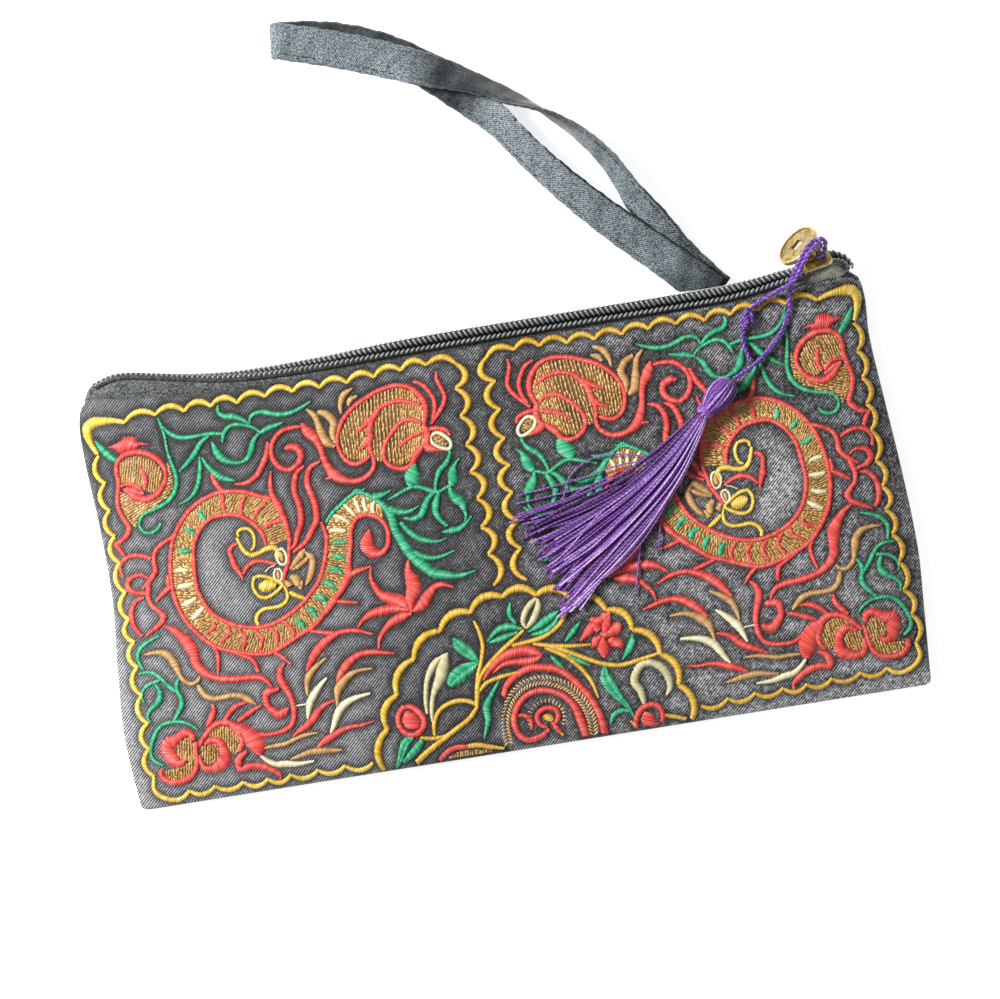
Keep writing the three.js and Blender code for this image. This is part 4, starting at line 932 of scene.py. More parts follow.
TAN = """
-106 -17.2 .5, -103 -17 1.1, -100.4 -17.6 1.8, -98.6 -19.3 2.2, -97.6 -21.8, -96.9 -24.2 1.3,
-96 -26, -94 -27.3, -92.2 -26.8 1, -91.2 -25.6 .5; -92.1 -27.9 .8, -91.7 -29.3 1.6, -90.5 -31.3,
-88.5 -32.4 1.5, -85.6 -32.5 1.4, -82.8 -32.4 1.5, -80.3 -33.1 1.8, -78.5 -34.5 1.6, -76.9 -35.9 .4;
-76.7 -48.6 .5, -73.9 -48.4 1, -70.6 -48.3 1.2, -67.8 -47.5 1.1, -64.9 -46.8 1, -61.2 -46.6 .4;
-69.9 -52.9 .6, -67.1 -52.4 1.1, -64.2 -51.8 1.6, -61 -51.9 1.7, -57.2 -52.4 1, -55.1 -52.6 .4;
-62.2 -35.8 .4, -61.9 -33.2 1.4, -61.2 -30.9 1.9, -59.7 -29.1 1.8, -57.5 -27.5 1.2, -55.3 -26.1 .4;
-54.4 -40.5 .4, -54 -37.6 1.4, -53.4 -35.5 2.4, -51.6 -33.5, -49.3 -31.9 1.6, -46.6 -31.1 1,
-43 -31.1 .5; -49.7 44.2 .4, -47.8 42.1 1.6, -47 39.6 1.8, -46.5 37.1 2.4, -45.5 34.1 2.6,
-43.4 32.4 1; -46.7 43 1.2, -44.2 41.7 2, -42.7 39.2 2.2, -43.4 36.2 2, -43 33.3 1; -40.2 41.3 .6,
-40 43.8 1.4, -38.7 46.3 1.8, -36 47.8 .5; -37.9 43.2 .8, -37.1 44.6 1.6, -35 45.5 .6; -61.3 .3 .6,
-59.5 2 1.8, -57.5 3.8 2, -56.3 5 .8; -61 -.1 .5, -58.8 .8 1.4, -56.4 2.2 1.2, -55.6 3 .5;
-56.4 4.4 .8, -54.7 2.3 1.8, -55.2 -.6 2, -56.4 -3.2 1.6, -57.7 -4.8 .6; -61.5 -1.5 1,
-60.2 -2.7 2.6, -59.8 -4.8 1.6; -63.2 -2.7 1, -62.1 -4.4 2; -58.5 -3.6 .8, -59.4 -5.7 1.6;
-63.3 5.6 .8, -63.1 4.2 1.6, -63.2 2.8 .8; -64.8 .2 .6, -64.9 -.8 1.2, -64.9 -1.9 .6
"""
CREAM = """
-93.6 5 .8, -91.8 4.9 1.2, -90 4.5 .6; -93.6 .3 1, -91.2 .3 1.4, -89 .6 .7; -93 -4.9 .8,
-91 -4.5 1.5, -88.9 -3.6 .6; -91 -9.3 1, -89 -8 1.7, -87.2 -6.6 .7; -48.8 9.4 .7, -46.6 9 1.2,
-44.2 8.5 .7; -47 13.2 .7, -45 12.4 1.2, -43.2 11 .7; -43.6 16 .6, -42 14 1.2, -41 12.4 .7;
-40.4 17.2 .6, -39.8 15 1.2, -39.4 13 .7; -37.6 17 .6, -37.8 15 1.2, -37.4 13 .7; -34.6 15.8 .6,
-35.6 14 1.2, -35.6 12.2 .7; -78.1 -50.4 .6, -76.4 -52.2 1.2, -74.2 -53.6 1.5, -71.4 -54 1.7,
-68.1 -54.6 1.2, -63.5 -54.5 .5; -63.2 -42.3 .5, -62.5 -39.9 1.5, -61.6 -37.6 2.2, -59.8 -35.3 1.9,
-57.8 -33.2 1.2, -56 -31.7 .5; -57.5 -47.3 .5, -56.3 -45.5 1.4, -55.1 -43.2 2, -53.7 -41.1 2.2,
-51.3 -39.4 1.8, -48.4 -38.5 1.2, -44.7 -38 .6; -66 -38.1 .4, -63 -38.1; -16 31.2 .9, -14.2 31.7,
-12.2 30.4, -10.9 28.4, -11.5 26.8, -13.6 27.2, -15.6 28.6, -16.3 30.2, -16 31.2; -64.2 6.2 .7,
-62.6 6.2, -61.8 4.2, -62.4 2, -63.8 2.2, -64.6 4.4, -64.2 6.2; -65.4 .9 .6, -64.2 .6, -63.8 -.8,
-64.6 -2.5, -65.9 -1.8, -66 -.2, -65.4 .9; -68.5 .6 .3, -67 1.6, -65.5 2
"""
YELLOW = """
-74.3 11.7 .8, -74.2 13, -72.8 13.6 .9, -71 13.2, -70 11.5, -70 9.5, -70.5 8 .8, -71.5 7.2 .6;
-74.8 11.4 .8, -74 9 1.1, -73 7 1.2, -71.3 5.9 1.3, -69 6.2 1.2, -67 7 1.4, -65 7 1.6,
-63.9 5.9 1.2, -64.2 3.6 .8; -71.5 -.3 .9, -72.3 -2, -72.2 -4, -71 -6, -69 -6.6, -66.8 -5.8,
-65 -4.6, -64.2 -3.6, -65.5 -2.5, -67.5 -1.2, -69.5 -.4, -71.5 -.3; -70.8 -3 1.2, -69.4 -3.2 3.2,
-67.6 -3.4 3.2, -66 -3.6 1.4; -63.8 -4 .6, -63.2 -6 .9, -63.5 -8 1, -65.2 -9.4, -67.8 -9.7 .9,
-70.3 -9.7 1, -72.2 -10.8 1.1, -73 -12.5, -72.6 -13.8 .8; -62.5 -6 .8, -61 -7.2 1.3, -59 -8.3 .9,
-58.2 -8.7 .5; -101 48.6 1, -104 49.6 1.4, -107.5 50 2.2, -110.5 49.9 3, -112.2 48.6,
-112.3 46.2 2.3, -111.6 43.8 1.6, -110.3 41 1; -109 -51.6 1, -109.5 -55.5 1.3, -107.5 -58,
-104 -59.3, -101.5 -58.8 1.2, -99.7 -57.3 .9
"""
half_strokes = sum(chart.count(";") + 1 for chart in (RED, GREEN, TAN, CREAM, YELLOW))
print("chart:", half_strokes, "strokes in one half")

# %% [markdown]
# The frame's scallops repeat, so only their valleys are charted: each pair of neighbours gets one
# arc that bulges to the outside. The list of valleys runs with the outside on its left.

# %% Chart of the frame and of the medallion
TOP_VALLEYS = """
-101 48.6, -92 49.3, -83.7 49, -76.1 49.2, -68.6 48.9, -60.5 49.5, -52.6 49.6, -44.9 49.5,
-37.1 49.6, -29.3 50, -21.5 50.7, -14.3 51.1
"""
LEFT_VALLEYS = """
-109 -51.6, -109.1 -43.8, -108.2 -36.5, -108.7 -28.4, -108.7 -20.4, -108.4 -13.2, -109 -6.6,
-108.7 1, -109 9.6, -109.2 17.3, -109.5 24.7, -109.5 32.5, -110 40.5
"""
BOTTOM_VALLEYS = """
-47.2 -57.8, -55 -57.2, -62.8 -57.2, -70.6 -57.3, -77.2 -57.5, -84.2 -57.2, -92.3 -57.1, -99.7 -57.3
"""
INNER_VALLEYS = """
-6.2 50.4, -7.3 43.3, -7.1 35.2, -6.8 27, -6.8 19.3, -6.1 11.6, -6.3 3.4, -5.5 -4.4, -5.4 -13.4
"""
INNER_CORNER = "-14.3 51.1 1, -11.5 52.4 1.5, -9 52.5 1.6, -7.4 51.6 1.4, -6.2 50.4 1"
MEDALLION_VALLEYS = """
-44.3 -60.3, -41.4 -48.9, -37.2 -39.7, -30.9 -30.4, -22.3 -23.7, -13 -19.9, -3.4 -17, 6.1 -18,
15.5 -20.3, 24.9 -25.3, 31.3 -32, 38 -40, 41.8 -49.5, 44.1 -59.9
"""
MEDALLION_AMBER = """
1 -27.2 .8, -2.8 -29.8 1.2, -6.6 -32.3, -10.5 -35.5, -13 -38.1, -14.3 -40.6 1.4, -14.9 -43.8,
-15.6 -46.4 1.2; -12.4 -22.4 .7, -11.4 -25.9 1.1, -11.1 -29.8, -12.1 -33.6, -13.6 -37.4,
-14.6 -41.3; -3.1 -31 1, 1 -30.7 1.2, 5.5 -30.1 1.3, 9.3 -28.5, 12.5 -25.9 1.2, 13.8 -22.4 .6;
2.9 -31.4 .8, 7.4 -32.6 1.1, 12.5 -33.6, 18.9 -34.2 .6; 4.8 -31.7 .8, 10.6 -34.2 1.2, 16.3 -37.4,
21.4 -40, 26.5 -41.3, 32.3 -40.6 1.1, 37.7 -39.7 .8; 6.1 -33 .8, 11.2 -36.1 1.2, 15 -40,
17.6 -44.4 1.1, 18.9 -49.5 .5; -14.3 -42.5 .8, -11.7 -40.3 1.1, -7.9 -39.3, -2.8 -38.7 .7;
-15.2 -46 1, -18.1 -44.4 1.2, -21.9 -44.1, -25.8 -45.7, -28 -48.9, -28.6 -52.7 .8; -15.2 -46.4 1,
-18.1 -49.5 1.3, -22.6 -52.1, -27 -54.6 1.5, -31.5 -57.2, -35 -59.7; -32.8 -52.7 .8, -29 -53.5 1.1,
-24.5 -53.4 .8; 36.5 -57.4 .8, 39.3 -58.3 1.1, 42.5 -59.5 .8; 3 -51.8 1.4, 4 -52.8 2.2, 5 -53.8 1.2;
6.6 -57.2 .9, 7.4 -58.6 .7; -20 -57.3 1.2, -16.8 -57.5 1.4, -13.6 -58.5 1.2, -9.8 -59.6 .7;
26.9 -57.4 .7, 28.1 -59 .9
"""
MEDALLION_KHAKI = """
1.7 -26.8 .6, 1.2 -24.8 1.4, 2.3 -22.2 1.7, 4.2 -20.1 1.6, 6 -18.9 .8; 1.8 -26.8 .6, 3.8 -25 1.8,
5.4 -22.8 2, 6.3 -20.6 1.6, 6.2 -19 .8; -29.7 -46.2 .6, -29.5 -43 1.2, -28.9 -39.5 1.4,
-28 -36.5 1.5, -26.5 -34 2, -24.6 -32 1.8, -22.6 -30.8 .5; -28.6 -48.9 .5, -28.2 -45.4 1.2,
-27.2 -41.6 1.5, -26 -39.3 2.2, -24.4 -36.7 3, -23.3 -34 3.6, -22.2 -31.7 2.8, -21.2 -30.2 .6;
31.4 -53.2 1.2, 31.3 -51.5 1.9, 30.9 -49.3 2.2, 29.7 -46.7 2.4, 30.4 -44.3 2.4, 32.3 -42.2 2,
35.1 -42, 37.9 -43.9 2.2, 39.3 -46.7 2.4, 39.3 -49.9 1.6, 37.9 -51.8 .6
"""
MEDALLION_GREEN = """
-1.5 -18.9 .5, -2.2 -22.1 1.6, -.9 -25 .8; -9.8 -28.8 .5, -6 -25.9 1.8, -2.8 -25.6 2, .4 -26.7 .8;
-9.2 -29.1 .6, -5.4 -28.5 1.8, -.9 -27.5 .8; 2.3 -27.9 .6, 5.5 -26.6 2, 8.7 -25 2.4, 11.5 -23.5 .6;
2.9 -28.8 .6, 6.8 -28.5 1.8, 9.9 -26.7 1.4, 11.2 -24.7 .6; -19 -26.2 .4, -17.3 -29 3.2,
-15.2 -31.3 3.4, -13.7 -33.1 2.2, -12.8 -34.4 .8; -22.3 -39.4 .4, -21 -38.2 3, -19.3 -37 4.3,
-16.6 -35.6 4.6, -14.4 -34.7 3, -13 -34 .9; -34.9 -52.3 .8, -37 -53.7 2.6, -38.4 -56.1,
-39.6 -58.4 1.6, -40.8 -60.3 .8; -32.3 -53.7 1.4, -34 -55.5 2.4, -36.4 -57.3 2, -38.7 -59 1.2;
-8.2 -40.3 .5, -10.8 -43.8 1.4, -12.7 -47 2.4, -13 -50.8 1.8, -14.9 -55.9 .5; 11.9 -32.3 .6,
14.4 -30.1 1.8, 17 -27.5 .5; 7.4 -35.5 .6, 9 -37.7 1.6, 10.6 -39.8 .5; 11.9 -35.8 .5, 15 -38.1 1.4,
17.9 -40 .6; 27.2 -39.9 .6, 29.5 -37.3 2, 30.9 -35, 31.1 -33.2 .5; 22.1 -40.6 .5, 21.8 -43.9 2.8,
23 -47.1 4, 24.8 -50.4 2.6, 26.7 -53.2 1.4, 28.2 -56.9 .5; 21.1 -57.4 .6, 22.5 -55 1.5,
25.3 -54.2 1.3, 27.5 -55 .6
"""
MEDALLION_RED = """
-12.5 -39.3 .5, -10.4 -36.9 1.4, -7.2 -34.3 2.2, -3.4 -33 2.8, .4 -32.9 3, 3.2 -33.9 2.2, 5 -35 .6;
-9.6 -37.8 .4, -6.2 -35.9 1.2, -2.6 -35.7 1.8, .6 -36 2.2, 3.2 -35.9 1.6, 4.8 -35.2 .5;
-7.6 -44.8 1.4, -6 -41.7 1.8, -2.8 -39.4 2, 1 -38.1 2.2, 4.8 -38.5, 8.7 -39.7, 11.9 -42.3 2,
14.1 -45.2, 16.3 -48.4, 17.9 -52.2, 18.9 -56 2.2, 19.2 -59.9; 13.8 -59.9 2.2, 13.1 -55.4 2.6,
11.9 -50.9 2.2, 9.6 -47.7 1.8, 6.1 -45.5 1.6, 2.3 -44.8 1.7, -1.5 -45.8 1.6, -4.4 -48.7 1.7,
-5.7 -52.2 1.8, -5 -56, -2.8 -58.2 1.6, 1 -57.9 1.5, 3.6 -56.3 1.1; -4.4 -50.9 .9, -2.5 -51.2 1.2,
-1 -52.8 1.3, -1.2 -55.4 .7; 3.2 -55.6 .8, 1.4 -54.4 1.3, .9 -52.4 1.5, 2 -50.7, 4.2 -50.1 1.4,
6.3 -50.8 1.5, 6.9 -52.6 1.4, 6 -54.3 1.3, 4.6 -54.9 1; 5 -54.2 1.3, 5.8 -56 1.5, 6.9 -57.7 1.1;
-35.8 -43.2 1.4, -37.6 -45.2 1.6, -38 -47.8, -36.8 -50.4, -34.4 -51.6, -31.8 -50.4, -30.8 -48,
-31.8 -45.6, -33.6 -43.8, -35.8 -43.2; -35 -44.6 1.6, -34.6 -46.2 4, -34.4 -48 5, -34.2 -49.8 3.6;
22.2 -31.4 1.6, 23.6 -32 2.6, 25 -31.6 1.6; 16.3 -32.7 .5, 18.6 -30.8 2.4, 20.6 -29.4 3, 22 -30.6 2;
20 -27 1.2, 22.2 -27.8 2.6, 24.6 -27 2.4, 25.8 -26.4 1; 23.2 -31.6 1.4, 24.2 -29.6 3, 25 -28 2.4,
25.6 -27 1; 24 -32.4 1.2, 25.8 -31.4 3.2, 27.6 -30.6 3, 28.4 -30 1.2; 24.2 -33.4 1.2, 25.8 -34.4 3,
27.2 -35.6 2.6, 27.6 -36.6 .8; 22.8 -33 1.2, 22.6 -35 3.6, 22.4 -36.8 3.4, 22.2 -38.4 1; 22 -32.6 1,
20.6 -33.6 2.6, 19.6 -34.6 1.6, 19 -34.9 .5; 28.1 -59.8 1.3, 28.8 -56.6 1.5, 31 -54.3 1.6, 34.2 -54,
36.1 -56 1.5, 35.9 -59.4 1.3; 32.1 -59.9 4.2, 32.2 -57.8 4.6, 32.4 -56 2.8; -28.3 -60 1,
-26.1 -58.2 1.4, -23.2 -57.2, -20 -57.4 1.2
"""
medallion = (MEDALLION_AMBER, MEDALLION_RED, MEDALLION_GREEN, MEDALLION_KHAKI)
print("chart:", sum(chart.count(";") + 1 for chart in medallion), "strokes in the medallion")

# %% [markdown]
# ## Stitches
# A satin stroke is thread laid across it, back and forth, close together. As a shape it is a low
# domed ribbon whose top is ribbed thread by thread, with its edges pulled into the cloth. The
# ribbon follows the front's own surface, so it dips and rises with the cloth.

# %% From chart to strokes
FIRST_WIDTH = 1.3               # of a stroke whose first place has no width


def places(text):
    """The places of a chart as rows of x and y."""
    return np.array([[float(word) for word in entry.split()] for entry in text.split(",")])


def read(text):
    """Strokes of a chart as arrays of x, y and width."""
    strokes = []
    for stroke in text.split(";"):
        rows, width = [], FIRST_WIDTH
        for entry in stroke.split(","):
            numbers = [float(word) for word in entry.split()]
            width = numbers[2] if len(numbers) > 2 else width
            rows.append((numbers[0], numbers[1], width))
        strokes.append(np.array(rows))
    return strokes


def scallops(text, bulge, thin, thick):
    """Arcs between neighbouring valleys, which bulge to the left of the list's direction."""
    valleys = places(text)
    strokes = []
    for a, b in zip(valleys[:-1], valleys[1:]):
        left = np.array([a[1] - b[1], b[0] - a[0]]) / np.linalg.norm(b - a)
        rows = []
        for t in np.linspace(0, 1, 7):
            swell = math.sin(math.pi * t)
            spot = a + (b - a) * t + left * bulge * swell ** 0.8
            rows.append((*spot, thin + (thick - thin) * swell))
        strokes.append(np.array(rows))
    return strokes


MIRROR_AT, MIRROR_TURN, CORNER_PULL = -1.7, 0.031, 1.4


def other_half(points):
    """The right half is the left half mirrored, turned a little, and pulled out at its lower corner."""
    x, y = MIRROR_AT - points[:, 0], points[:, 1]
    turned = np.stack([x - MIRROR_TURN * y, y + MIRROR_TURN * x], axis=1)
    turned[:, 0] += CORNER_PULL * np.clip((x - 60) / 45, 0, 1) * np.clip((-5 - y) / 35, 0, 1)
    return np.concatenate([turned, points[:, 2:]], axis=1)


def twice(strokes):
    """Strokes for both halves."""
    return strokes + [other_half(stroke) for stroke in strokes]


print("top of the frame:", len(places(TOP_VALLEYS)), "valleys")


# %% Satin ribbons
RIB = 0.24                      # half the distance from thread to thread
SLANT = 0.3                     # how far the threads lean from straight across
BODY = 0.25                     # what the thread's own thickness adds to a charted width
HIGHEST = 0.66                  # what a stroke rises above the cloth at most
FRINGE = 0.1                    # how far a thread's turn stands out of the stroke's edge
ACROSS = np.array([-1, -0.62, -0.2, 0.2, 0.62, 1.0])
VEINED = np.array([-1, -0.6, -0.22, 0, 0.22, 0.6, 1.0])
LEAF_FROM = 2.4                 # the width from which a leaf is sewn in two halves


def front_face(x, y):
    """Height of the front's upper side."""
    return front_surface(x, y) + CLOTH / 2


def ribbon(parts, stroke, layer, body, leaf):
    """One stroke; a broad leaf has a vein that its threads slant down to from both sides."""
    veined = leaf and stroke[:, 2].max() > LEAF_FROM
    spread = VEINED if veined else ACROSS
    rows = resample(stroke, RIB, 2)
    spot, charted = rows[:, :2], np.maximum(rows[:, 2], 0.2)
    width = charted + body * np.minimum(charted / 0.8, 1)
    ahead = unit(np.gradient(spot, axis=0))
    side = np.stack([-ahead[:, 1], ahead[:, 0]], axis=1)
    count = len(rows)
    ridge = np.where(np.arange(count) % 2 == 0, 1.0, -1.0)[:, None]
    jitter = 1 + 0.05 * rng.normal(size=(count, 1))
    reach = (width[:, None] / 2) * spread * jitter + FRINGE * ridge * spread ** 3
    slant = -0.6 * np.abs(reach) if veined else SLANT * reach
    plan = spot[:, None] + side[:, None] * reach[..., None] + ahead[:, None] * slant[..., None]
    crown = np.minimum(0.16 + 0.22 * width, HIGHEST)[:, None]
    dome = crown * (1 - np.abs(spread) ** 2.6) - 0.12 * np.abs(spread) ** 6
    if veined:
        dome = dome * (1 - 0.7 * np.exp(-((spread / 0.12) ** 2)))
    rib = 0.06 * ridge * (1 - 0.4 * spread ** 2)
    z = front_face(plan[..., 0], plan[..., 1]) + dome + rib + layer
    tone = np.repeat(rng.random(count // 2 + 1), 2)[:count]
    parts.grid(np.concatenate([plan, z[..., None]], axis=-1), tone=np.repeat(tone, len(spread)),
               side=np.tile(spread, count), along=np.repeat(np.arange(count) * RIB, len(spread)))


def thread_finish(name, deep, middle, light):
    """Shiny embroidery thread: its tone changes at random, with painted shade at a stroke's edges and
    between its threads, and a painted highlight along each thread.
    """
    finish = Finish(name, sheen_weight=0.2, sheen_roughness=0.35, specular_ior_level=0.5)
    tone, side = finish.mark("tone"), finish.mark("side")
    strand = (finish.mark("along") * (1 / (2 * RIB)) + 0.25).wave()
    patch = finish.noise(6.0)
    # random tone plus painted light: the strand wave paints a highlight on each thread, and side squared
    # paints shade at the edges
    shade = tone * 0.28 + strand * 0.38 + patch * 0.3 - side * side * 0.24 + 0.01
    low = finish.mix(shade.between(0.0, 0.42), colour(deep), colour(middle))
    full = finish.mix(shade.between(0.42, 0.95), low, colour(light))
    relief = finish.bump(strand, 0.12, 0.8)
    return finish.paint(base_color=full, roughness=0.5 - tone * 0.15, normal=relief)


drawn = []


def embroider(name, strokes, material, layer=0.0, body=BODY, leaf=False):
    """Strokes in one thread as one piece; layer lifts it over the strokes that it crosses."""
    parts = Parts()
    for stroke in strokes:
        ribbon(parts, stroke, layer, body, leaf)
    drawn.extend(strokes)
    parts.piece(name, material, "black_satin")


print("threads", 2 * RIB, "mm apart")

# %% Thread colours
# deep, middle and light colours: the deep end also serves as painted shade and the light end as painted
# highlight
red_thread = thread_finish("red_thread", "8e1e1b", "de403a", "fb9789")
green_thread = thread_finish("green_thread", "06573a", "1f9e6b", "84f0c4")
yellow_thread = thread_finish("yellow_thread", "96690c", "eac238", "fff4a8")
amber_thread = thread_finish("amber_thread", "7d560a", "dcaa26", "fbe084")
tan_thread = thread_finish("tan_thread", "6f4a20", "c09258", "e6c48e")
cream_thread = thread_finish("cream_thread", "b9aa76", "e9e0b8", "fbf7e2")
khaki_thread = thread_finish("khaki_thread", "8d8257", "c9bf92", "ece5c4")

# %% Strokes in thread
half_frame = scallops(TOP_VALLEYS, 2.0, 0.9, 1.5) + scallops(LEFT_VALLEYS, 2.1, 0.9, 1.5)
half_frame += scallops(BOTTOM_VALLEYS, 1.7, 0.8, 1.3)
inner_frame = scallops(INNER_VALLEYS, 3.0, 0.8, 1.9) + read(INNER_CORNER)
left_yellow = half_frame + read(YELLOW)
embroider("stitches_yellow", left_yellow + [other_half(s) for s in read(YELLOW)], yellow_thread)
embroider("stitches_amber", [other_half(s) for s in half_frame] + twice(inner_frame)
          + scallops(MEDALLION_VALLEYS, 2.3, 1.3, 2.1) + read(MEDALLION_AMBER), amber_thread)
embroider("stitches_red", twice(read(RED)) + read(MEDALLION_RED), red_thread)
embroider("stitches_green", twice(read(GREEN)), green_thread, layer=0.02, body=0.1)
embroider("stitches_leaves", read(MEDALLION_GREEN), green_thread, layer=0.02, body=0.1, leaf=True)
embroider("stitches_tan", twice(read(TAN)), tan_thread, layer=0.03)
embroider("stitches_cream", twice(read(CREAM)), cream_thread, layer=0.06)
embroider("stitches_khaki", read(MEDALLION_KHAKI), khaki_thread)

# %% [markdown]
# ## Gold fillings
# Between the outlines, the fillings are worked in a lustrous gold thread in short parallel
# stitches, so open that the brown ground shows in slits. Rows of places are tested against a
# listed area, the runs inside become stitches, and each run is broken into short ones of uneven
# length.

# %% Filling areas
POMEGRANATE = places("""
-104.9 31.8, -105 35.5, -104 37.8, -101.5 38.8, -98 38.6, -95 37, -93.2 34.5, -92.8 31.8,
-94.3 28.8, -96.5 27.6, -99 29, -102.5 31
""")
POMEGRANATE_LOBE = places("""
-105.8 29.5, -106 26, -105.3 22.5, -103.9 20, -102.5 18.5, -101.9 20, -100.5 22, -96 23.8,
-92.5 25.8, -90.2 28.3, -89.9 32, -90.2 35, -91.2 36, -91.3 33, -92.4 29.8, -95 26.6, -98.5 25.3,
-101.8 26.4, -103.6 28.6
""")
BUTTERFLY = places("""
-17.5 35, -17.3 40, -19.5 44.5, -23 46.2, -30 45.4, -37 41.9, -41.5 36, -42 32.5, -40.8 29,
-38.5 27.6, -35.5 27.6, -34.2 28.8, -33 26.8, -31 26, -29.5 25, -27 24.2, -24 24.5, -21 27,
-18 29.5, -17 32
""")
BUTTERFLY_HEAD = places("""
-15.8 30.8, -13.8 31.2, -12.4 29.8, -11.6 28, -13.4 27.8, -15.4 29
""")
BLOSSOM_HEARTS = [places(area) for area in """
-101 -45.2, -100.2 -43.2, -98.4 -42.6, -96.8 -43.4, -96.3 -45.4, -97 -47.4, -98.6 -48.2,
-100.4 -47.4; -106 -50.6, -103 -50.3, -100 -50, -98.2 -48.8, -96.6 -46.8, -96.4 -49, -97.6 -51.4,
-100 -52.9, -103.5 -53.3, -105.6 -52.3; -94.3 -47.6, -93.6 -45.6, -92 -45, -90.4 -45.7, -89.8 -47.8,
-90.8 -49.6, -92.6 -50.2, -94 -49.4; -91.5 -43, -89.5 -41.5, -87.4 -41, -85.3 -42, -83.8 -43.8,
-83.2 -46, -84.2 -47.4, -85.6 -48.2, -87.4 -46.6, -86.7 -45.6, -87.8 -44.1, -89.6 -43.4
""".split(";")]
FAN_HEART = np.array([-13.0, 34.0])
MEDALLION_FOOT = places("-27 -60, -22 -58.2, -14 -59, -11 -60.2")
DRAGON_EYE = np.array([3.6, -52.8])
BAND_OUTER = places("""
-60.3 9, -60.6 13, -61.8 17, -63.5 20.3, -66.5 21.6, -70 23.2, -74 24.2, -78 24.3, -82 23.3,
-85.5 21.6, -88.7 18.9, -91 16, -92.7 13, -93.7 9.6, -94.5 5, -94.7 0, -94.2 -3.7, -92.3 -9.3,
-89.6 -13.2, -86.7 -16.4, -83.7 -18.4, -80 -20, -76 -21.2, -72 -21.8, -69.6 -21.6, -66.5 -20.4,
-63.5 -19.1, -61 -17.9, -57.7 -16.4, -54.2 -13.4, -51.7 -11.2, -49.2 -8.7, -47.2 -6.2, -45.2 -3.3,
-44.6 -1, -44.2 2, -43.5 5, -43 8.3
""")
BAND_INNER = places("""
-66.9 8, -67.3 10.7, -68.5 13.2, -70.7 15.8, -73.6 17.8, -77 18.6, -81 18.3, -84.2 16.3, -86.5 13.2,
-87.7 10.1, -88.3 5, -88.5 0, -87.6 -4.1, -85.8 -8, -83.2 -10.8, -79.6 -13, -76 -14.3, -72 -14.9,
-68 -14.4, -63.9 -12.9, -59.6 -10.4, -56.2 -7.5, -53.6 -4.6, -51.5 -0.3, -50.2 3.6, -49.4 7.8
""")
ARCH_OUTER = places("""
-49.6 8, -49 11.2, -47 13.5, -44 15.6, -41.6 17.2, -39.2 18, -37.3 17.4, -35.3 16, -33.3 14
""")
ARCH_INNER = places("""
-43 8, -42.3 9.6, -40.8 11.4, -39.2 12.2, -37.5 12.2, -36 11.8, -34.4 10.8, -33.5 9.8
""")
print("dragon's outer edge", round(float(lengths(BAND_OUTER)[-1]), 1), "mm")


# %% Rows in an area
def inside(area, spots):
    """Which of the places lie in an area, by counting its crossings to the right of each."""
    found = np.zeros(len(spots), bool)
    for a, b in zip(area, np.roll(area, -1, axis=0)):
        crosses = (a[1] > spots[:, 1]) != (b[1] > spots[:, 1])
        x = a[0] + (spots[:, 1] - a[1]) / (b[1] - a[1] + 1e-12) * (b[0] - a[0])
        found ^= crosses & (spots[:, 0] < x)
    return found


def runs(spots, kept):
    """First and last place of each unbroken run of kept places."""
    edges = np.flatnonzero(np.diff(np.concatenate([[0], kept.astype(int), [0]])))
    return [(spots[a], spots[b - 1]) for a, b in zip(edges[::2], edges[1::2]) if b - a > 2]


def straight_rows(area, lean, pitch):
    """Parallel rows across an area; lean is their direction in degrees."""
    ahead = np.array([math.cos(math.radians(lean)), math.sin(math.radians(lean))])
    aside = np.array([-ahead[1], ahead[0]])
    found = []
    for off in np.arange((area @ aside).min(), (area @ aside).max(), pitch):
        s = np.arange((area @ ahead).min(), (area @ ahead).max(), 0.2)
        spots = s[:, None] * ahead + off * aside
        found += runs(spots, inside(area, spots))
    return found


def fan_rows(area, heart, pitch):
    """Rows that lie in rings round a point, as a wing's threads do."""
    away = np.linalg.norm(area - heart, axis=1)
    found = []
    for out in np.arange(max(away.min() - 4, 1), away.max(), pitch):
        angle = np.arange(0, 2 * math.pi, 0.2 / out)
        spots = heart + out * np.stack([np.cos(angle), np.sin(angle)], axis=1)
        found += runs(spots, inside(area, spots))
    return found


def band_rows(outer, inner, pitch):
    """Rows from one edge of a band to the other."""
    outer, inner = resample(outer, 0.3, 2), resample(inner, 0.3, 2)
    count = int(lengths(outer)[-1] / pitch)
    pick = np.linspace(0, 1, count)
    return list(zip(*[line_at(pick, np.linspace(0, 1, len(edge)), edge) for edge in (outer, inner)]))


print("fan's centre in the butterfly:", bool(inside(BUTTERFLY, FAN_HEART[None])[0]))

# %% Stitches of a row
STITCH_POINTS = 5               # along a short stitch, and across it


def gold_rows(ground, thread, rows, width, stitch):
    """A ground under each row, and short raised stitches on it."""
    for a, b in rows:
        long = np.linalg.norm(b - a)
        if long < 0.5:
            continue
        short_ribbon(ground, a, b, np.full(3, width * 1.6), 0.1, rng.random())
        aside = np.array([a[1] - b[1], b[0] - a[0]]) / long
        start = -rng.random() * stitch
        while start < long:
            length = stitch * rng.uniform(0.4, 1.3)
            low, high = max(start, 0), min(start + length, long)
            if high - low > 0.45:
                p = a + (b - a) * low / long + aside * rng.normal(0, 0.13)
                q = a + (b - a) * high / long + aside * rng.normal(0, 0.13)
                wide = width * rng.uniform(0.65, 1.25)
                short_ribbon(thread, p, q, (wide * 0.7, wide, wide * 0.7), 0.34, rng.random())
            start += length + rng.uniform(-0.1, 0.4)


